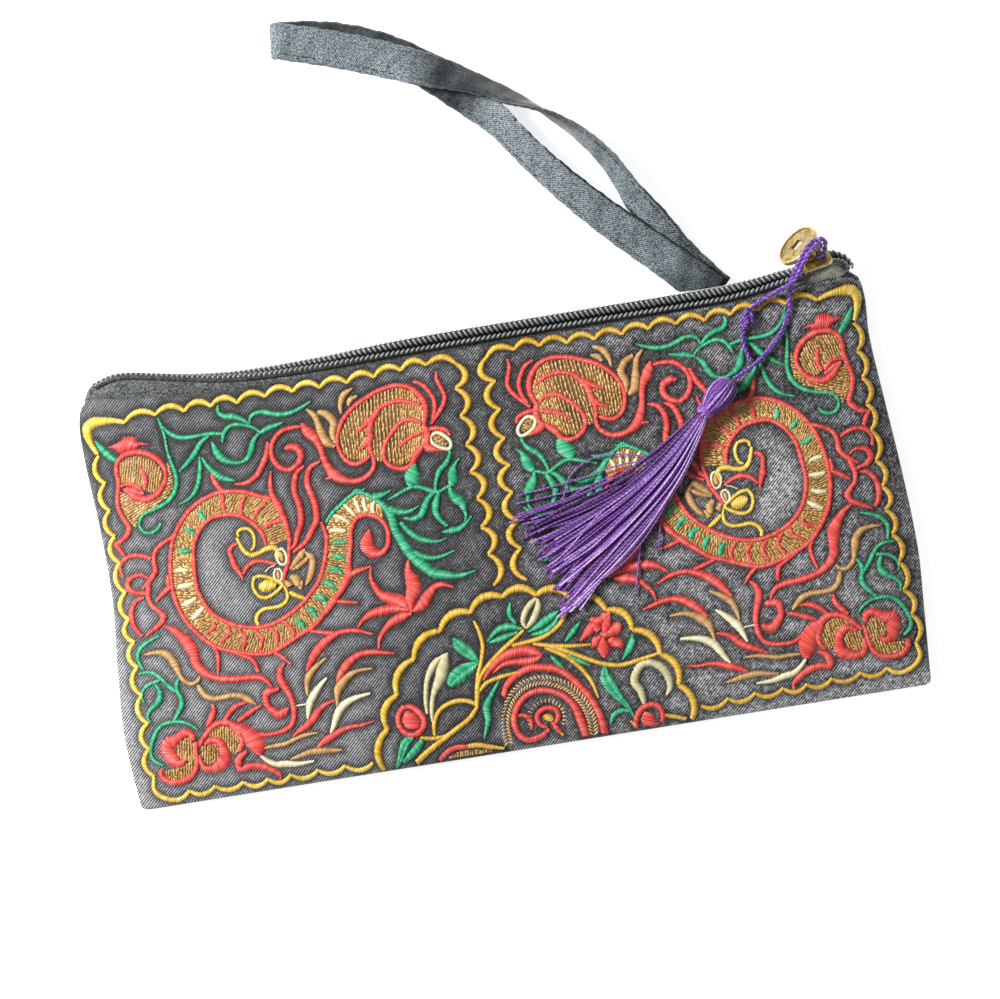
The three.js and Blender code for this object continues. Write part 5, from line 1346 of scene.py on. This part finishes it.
def short_ribbon(parts, start, end, widths, high, tone):
    """One straight stitch as a small dome; widths are those at its start, middle and end."""
    t = np.linspace(0, 1, STITCH_POINTS)
    middle = (start + end) / 2
    rows = np.array([(*spot, width) for spot, width in zip((start, middle, end), widths)])
    spot = line_at(t, (0, 0.5, 1), rows)
    ahead = unit(end - start)
    across = np.linspace(-1, 1, STITCH_POINTS)
    plan = spot[:, None, :2] + np.array([-ahead[1], ahead[0]]) * (spot[:, 2:] / 2 * across)[..., None]
    arch = 0.35 + 0.65 * np.sin(math.pi * t)[:, None]
    z = front_face(plan[..., 0], plan[..., 1]) + high * arch * (1 - across ** 2) - 0.04 + 0.04 * arch
    parts.grid(np.concatenate([plan, z[..., None]], axis=-1), tone=tone,
               side=np.tile(across, STITCH_POINTS), along=np.repeat(t * 0.4, STITCH_POINTS))


# %% Fillings
gold_ground, gold_thread = Parts(), Parts()
GOLD_PITCH, GOLD_WIDTH, GOLD_STITCH = 0.72, 0.66, 1.9
HEART_GROWN = 1.25              # the hearts reach under the petals round them
half_rows = straight_rows(POMEGRANATE, 75, GOLD_PITCH) + straight_rows(POMEGRANATE_LOBE, 20, GOLD_PITCH)
half_rows += fan_rows(BUTTERFLY, FAN_HEART, GOLD_PITCH) + straight_rows(BUTTERFLY_HEAD, 30, 0.6)
for area in BLOSSOM_HEARTS:
    heart = np.mean(area, axis=0)
    half_rows += straight_rows(heart + (area - heart) * HEART_GROWN, 80, GOLD_PITCH)
half_rows += band_rows(BAND_OUTER, BAND_INNER, 0.8) + band_rows(ARCH_OUTER, ARCH_INNER, 0.8)
both_rows = list(half_rows)
for a, b in half_rows:
    pair = other_half(np.array([a, b]))
    both_rows.append((pair[0], pair[1]))
both_rows += straight_rows(MEDALLION_FOOT, 75, 0.7)
gold_rows(gold_ground, gold_thread, both_rows, GOLD_WIDTH, GOLD_STITCH)

BRAID = places("""
-8.2 -57.9, -8.5 -53.5, -7.6 -49.6, -5.4 -45.8, -2.5 -43.2, 1 -42, 4.2 -42, 7.7 -43.3, 10.9 -45.2,
13.5 -48.4, 15.1 -51.5, 16 -55.4, 16 -59.8
""")
braid = resample(BRAID, 1.0, 2)
braid_ahead = unit(np.gradient(braid, axis=0))
for spot, ahead in zip(braid, braid_ahead):
    aside = np.array([-ahead[1], ahead[0]])
    for hand in (-1, 1):
        start, end = spot + 0.15 * hand * aside, spot + 1.45 * hand * aside - 0.9 * ahead
        short_ribbon(gold_thread, start, end, (0.35, 0.75, 0.35), 0.35, 0.5 + 0.5 * rng.random())
for angle in np.radians(np.arange(-30, 200, 13)):
    spoke = np.array([math.cos(angle), math.sin(angle)])
    start, end = DRAGON_EYE + 4.4 * spoke, DRAGON_EYE + 5.7 * spoke
    short_ribbon(gold_thread, start, end, (0.4, 0.55, 0.35), 0.3, 0.9)

gold_finish = thread_finish("gold_thread", "8e6430", "cb9d5c", "f2daa4")
brown_finish = thread_finish("brown_ground", "452f14", "745526", "a07b40")
gold_ground.piece("filling_ground", brown_finish, "black_satin")
gold_thread.piece("filling_stitches", gold_finish, "black_satin")

# %% [markdown]
# ## Cloth between the stitches
# Embroidery pulls the cloth in, so satin puffs up between the strokes and lies deep beside them. Each
# point of the front looks up its nearest stitching, and the distance gives both its lift and the
# painted shade that darkens the cloth beside the stitches.

# %% Puffed cloth
PUFF, PUFF_REACH = 0.5, 3.0     # the lift, and how far from a stitch most of it is reached
SHADE_REACH = 0.9
FIRM = 0.6                      # beside a stroke, the cloth stays flat for this far


def puff_between(cloth, stitching):
    """Lifts the cloth's points away from the stitching, which is rows of x, y and width, and marks
    painted shade beside it.
    """
    tree = KDTree(len(stitching))
    for k, (x, y, _) in enumerate(stitching):
        tree.insert((x, y, 0.0), k)
    tree.balance()
    points = np.empty(len(cloth.data.vertices) * 3, np.float32)
    cloth.data.vertices.foreach_get("co", points)
    points = points.reshape(-1, 3)
    x, y = points[:, 0] / MM, points[:, 1] / MM
    found = [tree.find((a, b, 0.0))[1:] for a, b in zip(x, y)]
    gap = np.array([max(away - stitching[k, 2] / 2 - FIRM, 0.0) for k, away in found])
    inner = np.minimum(x - left_edge(y), right_edge(y) - x)
    inner = np.minimum(inner, np.minimum(y - BOTTOM, front_top(x) - y))
    points[:, 2] += MM * PUFF * (1 - np.exp(-gap / PUFF_REACH)) * np.clip(inner / 6, 0, 1)
    cloth.data.vertices.foreach_set("co", points.ravel())
    # the pulled mark stores the painted shade beside the stitching
    layer = cloth.data.attributes.new("pulled", "FLOAT", "POINT")
    layer.data.foreach_set("value", np.exp(-gap / SHADE_REACH).astype(np.float32))
    cloth.data.update()
    print("puffed", len(points), "points, furthest", round(float(gap.max()), 1), "mm from a stitch")


filled = [np.array([(*a, GOLD_PITCH), (*b, GOLD_PITCH)]) for a, b in both_rows]
puff_between(front_cloth, np.concatenate([resample(rows, 0.8, 2) for rows in drawn + filled]))

# %% [markdown]
# ## The zip
# A coil zip's teeth are one nylon thread wound into a long flat coil on each tape, and the two
# coils mesh. Here each coil really is wound round its row, so the loops show as teeth from above
# and from the side. The tapes bend from under their teeth to the panels that they are sewn to.

# %% Chain
CHAIN = np.array([
    # x, y, z, tilt
    (-110.6, 58.4, 4.6, 86), (-108, 60.4, 4.8, 88), (-101, 62, 5.2, 90), (-90, 60.3, 5.6, 88),
    (-80, 58.5, 6.1, 77), (-70, 57.1, 6.8, 65), (-60, 56.5, 7.3, 53), (-50, 56.4, 7.5, 45),
    (-40, 56.5, 7.7, 38), (-30, 56.8, 7.8, 25), (-20, 57, 7.9, 12), (0, 57.2, 7.9, 10),
    (35, 57.3, 7.9, 10), (70, 57.4, 7.9, 10), (80, 58.2, 8.1, 16), (88, 59.3, 8.5, 28),
    (94, 60.2, 8.9, 38), (98.7, 61.65, 9.2, 40), (103, 62.9, 8.9, 44), (106.6, 61.8, 7.6, 50),
    (108.6, 59.2, 6.2, 56),
])
COIL_OFFSET, COIL_HIGH, TOOTH_PITCH = 1.35, 0.8, 1.45
NECK_AT, NECK_REACH, NECK_SPREAD = 101.5, 3.0, 0.85
COIL_STEPS, COIL_SIDES = 14, 6
COIL_FROM = -108.3              # the coil goes into the tuck here
CORE_DEEP, CORE_SUNK, CORE_SIDES = 0.9, -0.42, 10
# middle, half width, lean, radius of the thread, half of the core
FRONT_ROW = (1.15, 0.74, 0.6, 0.36, 0.6)
BACK_ROW = (1.15, 1.5, -0.3, 0.27, 1.1)


def chain_at(step):
    """The zip's line with its directions, and how far the slider's neck spreads its rows."""
    rows = resample(CHAIN, step, 3)
    ahead = unit(np.gradient(rows[:, :3], axis=0))
    heading = np.arctan2(ahead[:, 1], ahead[:, 0])
    level, face, across = chain_directions(heading, np.radians(rows[:, 3]))
    spread = NECK_SPREAD * np.exp(-(((rows[:, 0] - NECK_AT) / NECK_REACH) ** 2))
    return rows[:, :3], level, face, across, spread


def coil(name, side, start, row, node, material):
    """One row: loops of thread that lean along the chain, over the cord that they are wound on."""
    offset, half, lean, thread, core_half = row
    lines = chain_at(TOOTH_PITCH / COIL_STEPS)
    keep = lines[0][:, 0] > COIL_FROM
    middle, _, face, across, spread = (values[keep] for values in lines)
    ahead = unit(np.gradient(middle, axis=0))
    turn = (2 * math.pi * np.arange(len(middle)) / COIL_STEPS + start)[:, None]
    heart = middle + across * (side * (COIL_OFFSET + spread))[:, None]
    swing = side * (half - thread * 0.9) * np.cos(turn)
    line = middle + across * (side * (offset + spread))[:, None] + (across + lean * ahead) * swing
    line = line + face * (COIL_HIGH - thread * 0.9) * np.sin(turn)
    rings = rings_along(line, thread, COIL_SIDES)
    parts = Parts()
    # painted highlight: each loop's top and outer turn are marked to be drawn pale
    shown = np.clip(np.maximum(np.sin(turn[:, 0]), np.cos(turn[:, 0])), 0, 1)
    parts.tube(rings, tone=np.repeat(shown, COIL_SIDES), sewn=0.0)
    angle = np.linspace(0, 2 * math.pi, CORE_SIDES, endpoint=False)
    broad, deep = core_half * np.cos(angle), CORE_SUNK + CORE_DEEP * np.sin(angle)
    core = heart[:, None] + across[:, None] * broad[:, None] + face[:, None] * deep[:, None]
    core = core[::COIL_STEPS // 2]
    parts.tube(core, tone=0.0, sewn=np.tile(np.clip(0.6 - 1.6 * np.sin(angle), 0, 1), len(core)))
    parts.piece(name, material, "zip_nylon", [node])


def nylon_finish():
    """Black nylon with a painted highlight along each loop's top and outer turn; the cord sewn in under
    it is speckled.
    """
    finish = Finish("zip_nylon", specular_ior_level=0.8)
    tone_and_highlight_noise, top = finish.noise(1.2), finish.mark("tone")
    speck = finish.noise(0.45, 1.0).between(0.42, 0.66)
    shade = finish.mix(tone_and_highlight_noise.between(0.35, 0.75), colour("232526"), colour("3a3e3f"))
    woven = finish.mix(speck, colour("1c1d1d"), colour("6e706f"))
    below = finish.mix(finish.mark("sewn"), shade, woven)
    # painted highlight along each loop's marked top and outer turn, stronger in places at random
    pale = finish.mix(top.between(0.45, 1.0) * (tone_and_highlight_noise * 0.5 + 0.2), below, colour("b9bfbe"))
    return finish.paint(base_color=pale, roughness=0.22 + tone_and_highlight_noise * 0.15)


zip_nylon = nylon_finish()
coil("zip_coil_front_wound", -1, 0.0, FRONT_ROW, "zip_coil_front", zip_nylon)
coil("zip_coil_back_wound", 1, math.pi, BACK_ROW, "zip_coil_back", zip_nylon)

# %% Tapes
TAPE, TAPE_UNDER, TAPE_TUCK, HEM_LAP, HEM_UNDER = 1.0, 0.5, 5.0, 1.0, 0.6
TAPE_GATHER, TAPE_LEAD, TAPE_RIM = 0.955, 0.42, 0.15
TAPE_DEPTH = COIL_HIGH + TAPE_UNDER + TAPE / 2


def tape(name, side, node, longest, arriving, material):
    """A tape from under its teeth to its panel; longest and arriving shape its two bends."""
    middle, level, face, across, spread = chain_at(1.1)
    start = middle - face * TAPE_DEPTH + across * (side * (0.21 + spread))[:, None]
    x = middle[:, 0] * TAPE_GATHER
    if side < 0:
        y = front_top(x)
        rise = np.maximum(middle[:, 1] - y - 4, 0) / 2
        under_teeth = middle[:, 2] - COIL_OFFSET * across[:, 2] - TAPE_DEPTH + rise
        end = np.stack([x, y - HEM_LAP, np.minimum(front_surface(x, y), under_teeth) - HEM_UNDER], axis=1)
    else:
        y = back_top(x) - TAPE_TUCK
        end = np.stack([x, y, back_surface(x, y) + CLOTH / 2 + 0.6 + TAPE / 2], axis=1)
    apart = np.linalg.norm(end - start, axis=1)
    drop = np.maximum(-side * across[:, 2], 0.05)
    leaving = np.minimum(np.minimum(longest, (start[:, 2] - 2.6 * CLOTH) / drop), apart * TAPE_LEAD)
    landing = np.minimum(arriving, apart * TAPE_LEAD)
    knots = [start, start + side * across * leaving[:, None], end + level * landing[:, None], end]
    t = np.linspace(0, 1, 12)[None, :, None]
    weights = [(1 - t) ** 3, 3 * t * (1 - t) ** 2, 3 * t * t * (1 - t), t ** 3]
    line = sum(w * k[:, None] for w, k in zip(weights, knots))
    along = np.cross(level, (0.0, 0.0, 1.0))[:, None]
    normal = unit(np.cross(along, np.gradient(line, axis=1)))
    parts = Parts()
    over = line + normal * TAPE / 2
    rounded_sheet(parts, over, line - normal * TAPE / 2, TAPE_RIM, bare=bare_tape)
    parts.piece(name, material, "zip_tape", [node])
    return over


def bare_tape(points):
    """Where the tape's end shows paler, past the slider."""
    x = points[:, 0]
    return soft_step(x, 97.5, 0.5) * soft_step(-x, -106.8, 0.5)


def tape_finish():
    """Woven tape: ribs crossed by a finer weft, black with many pale specks, grey at its bare end."""
    finish = Finish("zip_tape", roughness=0.8, specular_ior_level=0.3, sheen_weight=0.2)
    x, y = finish.axis("X") * (1 / MM), finish.axis("Y") * (1 / MM)
    weave = (x * (1 / 0.6) + y * (1 / 1.1)).wave() * 0.3
    speck = finish.noise(0.55, 1.0) * 1.4
    cloud = finish.noise(5.0, 2.0)
    mask = (weave * 0.5 + speck * 0.7 + cloud * 0.3).between(0.48, 1.12)
    black = finish.mix(mask, colour("242726"), colour("848986"))
    grey = finish.mix(mask, colour("9ba197"), colour("f4f8ee"))
    shade = finish.mix(finish.mark("bare"), black, grey)
    return finish.paint(base_color=shade, normal=finish.bump(weave + speck, 0.08, 0.8))


zip_tape = tape_finish()
tape_top = tape("zip_tape_front_woven", -1, "zip_tape_front", 4.4, 1.2, zip_tape)
tape("zip_tape_back_woven", 1, "zip_tape_back", 3.2, 6.0, zip_tape)

# %% Tuck at the zip's closed end
TUCK_RIM = np.array([
    (-108.2, 60.9, 5.2), (-109.6, 60.0, 4.7), (-110.7, 58.7, 4.2), (-111.5, 57.2, 3.8),
    (-112.1, 55.4, 3.4), (-112.5, 53.6, 3.0),
])
TUCK_FROM = 5                   # the row of the tape that the fold starts on
TUCK_THICK = 0.7
fold_line = tape_top[TUCK_FROM] + (0, 0, 0.12)
rim_key = np.linspace(0, 1, len(fold_line))
tuck_rim = curve_at(rim_key, np.linspace(0, 1, len(TUCK_RIM)), TUCK_RIM)
v = np.linspace(0, 1, 18)[:, None, None]
fall = 1 - np.sqrt(1 - v ** 2.4)
tuck = fold_line * (1 - v) + tuck_rim * v
tuck[..., 2:] = fold_line[:, 2:] * (1 - fall) + tuck_rim[:, 2:] * fall
tuck_parts = Parts()
tuck = tuck[:, ::-1]
rounded_sheet(tuck_parts, tuck, tuck - (0, 0, TUCK_THICK), TAPE_RIM, bare=bare_tape)
tuck_parts.piece("zip_end_tuck", zip_tape, "zip_tape")
print("tuck from", np.round(fold_line[0], 1).tolist(), "to", np.round(tuck_rim[0], 1).tolist())

# %% [markdown]
# ## The wrist strap
# The strap is a folded band of the same satin, sewn along one edge, doubled and caught in the seam
# behind the zip. Its loop is creased at the far end and twisted once. It is swept along the strap's
# table with a rounded section that is thin along the seam, and the seam's stitches are laid on top.

# %% Strap
STRAP_WIDE, STRAP_THICK, STRAP_CUT = 10.5, 1.4, 60.35
STRAP_OVERRUN = 2.5             # how far each end runs on past the cut, where it is pressed flat
STRAP_COLUMNS = 15              # points across each face
STRAP = np.array([
    # x, y, z, heading of the width, roll, painted light from 0 for shade to 1 for fully lit
    (71, 56, 3.9, 46, 4, 0.2), (66.8, 61, 3.7, 46, 6, 0.3), (62, 65.6, 3.4, 46, 10, 0.5),
    (57.5, 70.3, 3.1, 46, 14, 0.65), (48.5, 79, 2.8, 46, 21, 0.75), (42, 85.4, 3.2, 44, 28, 0.8),
    (33.6, 94.4, 3.7, 41, 35, 0.8),
    (24.2, 105.8, 4.15, 38, 42, 0.9), (16.8, 116.2, 4.05, 39, 40, 0.9), (12.4, 121.6, 2.8, 41, 22, 0.6),
    (8, 126.2, 1.4, 43, 6, 0.2), (-2, 135, 0.9, 49, 0, 0.1), (-13, 142, 0.9, 60, 0, 0.2),
    (-25, 146.8, 0.9, 71, 0, 0.3),
    (-36, 149, 0.9, 80, 0, 0.1), (-42, 149.4, 0.95, 85, 0, 0.3), (-43.1, 149.3, 1.9, 85, 0, 0.9),
    (-42, 149.1, 2.85, 84, 0, 1.0), (-30, 145.5, 2.8, 73, 0, 1.0), (-20, 142, 2.8, 70, 0, 1.0),
    (-10, 138, 3.1, 67, -5, 0.9), (0, 133.6, 4.3, 63, -17, 0.4), (10, 128.8, 5.1, 60, -43, 0.15),
    (20, 123, 5.6, 57, -58, 0.2), (29.4, 117, 6.2, 52, -84, 0.4), (37.7, 110.2, 6.1, 44, -102, 0.6),
    (45.6, 100.4, 5.8, 36, -112, 0.7), (50.8, 90, 5.3, 32, -125, 0.75), (55.4, 81.9, 4.2, 36, -142, 0.7),
    (60.9, 71.8, 2.4, 41, -165, 0.6), (66.5, 64.2, 1.6, 45, -174, 0.5), (72.5, 57, 1.2, 46, -178, 0.3),
])
SEAM_AT, SEAM_DIP = -0.68, 0.4


def strap_lines():
    """The strap's middle, the direction of its width, the way out of its face, and its painted light."""
    rows = resample(STRAP, 0.9, 3)
    heading, roll = np.radians(rows[:, 3]), np.radians(rows[:, 4])
    level = np.cos(roll)
    width = np.stack([np.cos(heading) * level, np.sin(heading) * level, np.sin(roll)], axis=1)
    ahead = unit(np.gradient(rows[:, :3], axis=0))
    keep = rows[:, 1] > STRAP_CUT - STRAP_OVERRUN
    return rows[keep, :3], width[keep], unit(np.cross(ahead, width))[keep], rows[keep, 5]


strap_middle, strap_width, strap_flat, strap_light = strap_lines()
strap_along = lengths(strap_middle)
across = np.concatenate([np.linspace(-1, 1, STRAP_COLUMNS), np.linspace(1, -1, STRAP_COLUMNS)])
face = np.repeat([1.0, -1.0], STRAP_COLUMNS)
dip = SEAM_DIP * np.exp(-(((across - SEAM_AT) / 0.1) ** 2))
body = np.sqrt(np.maximum(1 - np.abs(across) ** 8, 0.0)) * (1 - dip)
s = strap_along[:, None]
pucker = 1 + 0.22 * np.sin(s * 2.4 + np.sin(s * 0.7)) * np.exp(-(((across - SEAM_AT) / 0.35) ** 2))
soft = 0.16 * np.sin(s * 0.31 + 1.5 * across) + 0.12 * np.sin(s * 0.83 - 2.6 * across + np.sin(s * 0.2))
lift = face * body * pucker * STRAP_THICK / 2 + soft * (1 - across ** 4)
wavy = 1 + 0.02 * np.sin(s * 0.9 + across) + 0.015 * np.sin(s * 2.1)
rings = strap_middle[:, None] + strap_width[:, None] * (across * wavy * STRAP_WIDE / 2)[..., None]
rings = rings + strap_flat[:, None] * lift[..., None]
rings[..., 1] = np.maximum(rings[..., 1], STRAP_CUT)
rings[..., 2] = np.maximum(rings[..., 2], 0.02)
strap_parts = Parts()
# each point carries the strap's painted light
strap_parts.tube(rings, along=np.repeat(strap_along, len(across)), side=np.tile(across, len(rings)),
                 light=np.repeat(strap_light, len(across)))


def strap_finish():
    """The strap's satin: blue-grey specks, with painted shade in its folds and where it turns from the
    light, and painted light where it faces it.
    """
    finish = Finish("strap_satin", specular_ior_level=0.25, sheen_weight=0.1, sheen_roughness=0.45)
    along, side = finish.mark("along"), finish.mark("side")
    line = ((along + side * 5.25) * (1 / 0.8)).wave()
    grain, patch = finish.noise(0.42, 1.0), finish.noise(7.0, 3.0)
    weave = line * 0.25 + grain * 1.2
    # painted light and shade along the strap, with random patches, picks between the shaded and the lit
    # copy
    painted_strap_light = (patch * 1.1 + finish.mark("light") - 0.5).between(0.1, 1.0)
    dark = finish.mix(weave.between(0.5, 0.95), colour("0a0b0d"), colour("30373b"))
    pale = finish.mix(weave.between(0.5, 0.95), colour("262d31"), colour("8f9a9f"))
    base = finish.mix(painted_strap_light, dark, pale)
    relief = finish.bump(weave + patch * 3, 0.1, 0.8)
    return finish.paint(base_color=base, roughness=0.65 - weave * 0.15, normal=relief)


strap_satin = strap_finish()
strap = strap_parts.piece("wrist_strap_sewn", strap_satin, "strap_satin", ["wrist_strap"])

STITCH_LONG, STITCH_STEP, STITCH_RADIUS = 1.9, 2.6, 0.16
seam_parts = Parts()
strap_tables = (strap_middle, strap_width, strap_flat)
arch = 0.1 * np.sin(math.pi * np.linspace(0, 1, STITCH_POINTS))
for start in np.arange(3, strap_along[-1] - 4, STITCH_STEP):
    at = np.linspace(start, start + STITCH_LONG, STITCH_POINTS)
    middle, width, flat = (line_at(at, strap_along, rows) for rows in strap_tables)
    for hand in (-1, 1):
        sink = hand * (STRAP_THICK / 2 * (1 - SEAM_DIP) + arch - 0.02)
        line = middle + width * SEAM_AT * STRAP_WIDE / 2 + flat * sink[:, None]
        if line[:, 1].min() > STRAP_CUT + 0.5:
            stitch = rings_along(line, STITCH_RADIUS, THREAD_SIDES)
            seam_parts.tube(stitch, along=0.0, side=0.0, tone=0.3)
seam_finish = thread_finish("seam_thread", "0e0e10", "1d1f22", "3d4146")
seam_parts.piece("wrist_strap_stitches", seam_finish, "strap_satin")

# %% [markdown]
# ## The brass slider and the coin
# Both are cast brass that was darkened and then rubbed, so hollows stay brown and edges turn
# bright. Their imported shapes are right, so they keep them, with softened edges and a finish. The
# coin's field gets a plain grain.

# %% Brass
SOFT_EDGE = 0.12                # width of the softened edges in millimetres


def brass_finish(name, grain_size, depth):
    """Darkened brass, rubbed bright on its edges and on its grain."""
    finish = Finish(name, metallic=0.9, specular_ior_level=0.5)
    grain, cloud = finish.noise(grain_size, 3.0), finish.noise(3.0, 2.0)
    rubbed = (grain * 0.7 + cloud * 0.5).between(0.4, 0.8)
    edge = finish.node("ShaderNodeNewGeometry", output="Pointiness").between(0.48, 0.56)
    dark = finish.mix(rubbed, colour("664f24"), colour("bda468"))
    full = finish.mix(edge * 0.6, dark, colour("dcc88e"))
    relief = finish.bump(grain, depth, 0.8)
    return finish.paint(base_color=full, roughness=0.52 - rubbed * 0.18, normal=relief)


antique_brass = brass_finish("antique_brass", 0.9, 0.05)
coin_brass = brass_finish("coin_brass", 0.55, 0.22)
for node, finish in (("slider", antique_brass), ("coin_pull", coin_brass)):
    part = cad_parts[node]
    part.data.materials.clear()
    part.data.materials.append(finish)
    bevel = part.modifiers.new("softened edges", "BEVEL")
    bevel.width = SOFT_EDGE * MM
    bevel.segments = 2
    bevel.limit_method = "ANGLE"
    print(node, "finished in", finish.name)

# %% [markdown]
# ## Table and light
# The photograph has a white ground and soft daylight from the upper left. A wide pale table takes
# the contact shadow, a bright sky fills the shade, and one broad lamp gives the stitches their
# relief.

# %% Stage
def table_finish():
    """A white light table: it glows a little, so that shadows on it stay faint."""
    glow = {"emission_color": (1.0, 1.0, 1.0, 1.0), "emission_strength": 0.72}
    finish = Finish("table", roughness=0.9, specular_ior_level=0.1, **glow)
    white = finish.mix(finish.noise(400.0), (0.93, 0.93, 0.93, 1), (0.96, 0.96, 0.96, 1))
    return finish.paint(base_color=white)


bpy.ops.mesh.primitive_plane_add(size=6.0, location=(0, 0, -0.0002))
table = bpy.context.object
table.name = "table"
table.data.materials.append(table_finish())

world = bpy.data.worlds.new("soft_room")
world.use_nodes = True
world.node_tree.nodes["Background"].inputs["Color"].default_value = (1.0, 1.0, 1.0, 1.0)
world.node_tree.nodes["Background"].inputs["Strength"].default_value = 0.3
bpy.context.scene.world = world


def lamp(name, watts, size, place):
    """A square lamp that faces the pouch; place is in millimetres."""
    data = bpy.data.lights.new(name, "AREA")
    data.energy = watts
    data.size = size * MM
    made = bpy.data.objects.new(name, data)
    bpy.context.scene.collection.objects.link(made)
    made.location = [v * MM for v in place]
    made.rotation_euler = (-made.location).to_track_quat("-Z", "Y").to_euler()
    print("lamp", name, watts, "W")


lamp("window", 24.0, 300, (-800, 420, 760))
bpy.context.scene.view_settings.view_transform = "Standard"
bpy.context.scene.view_settings.look = "None"
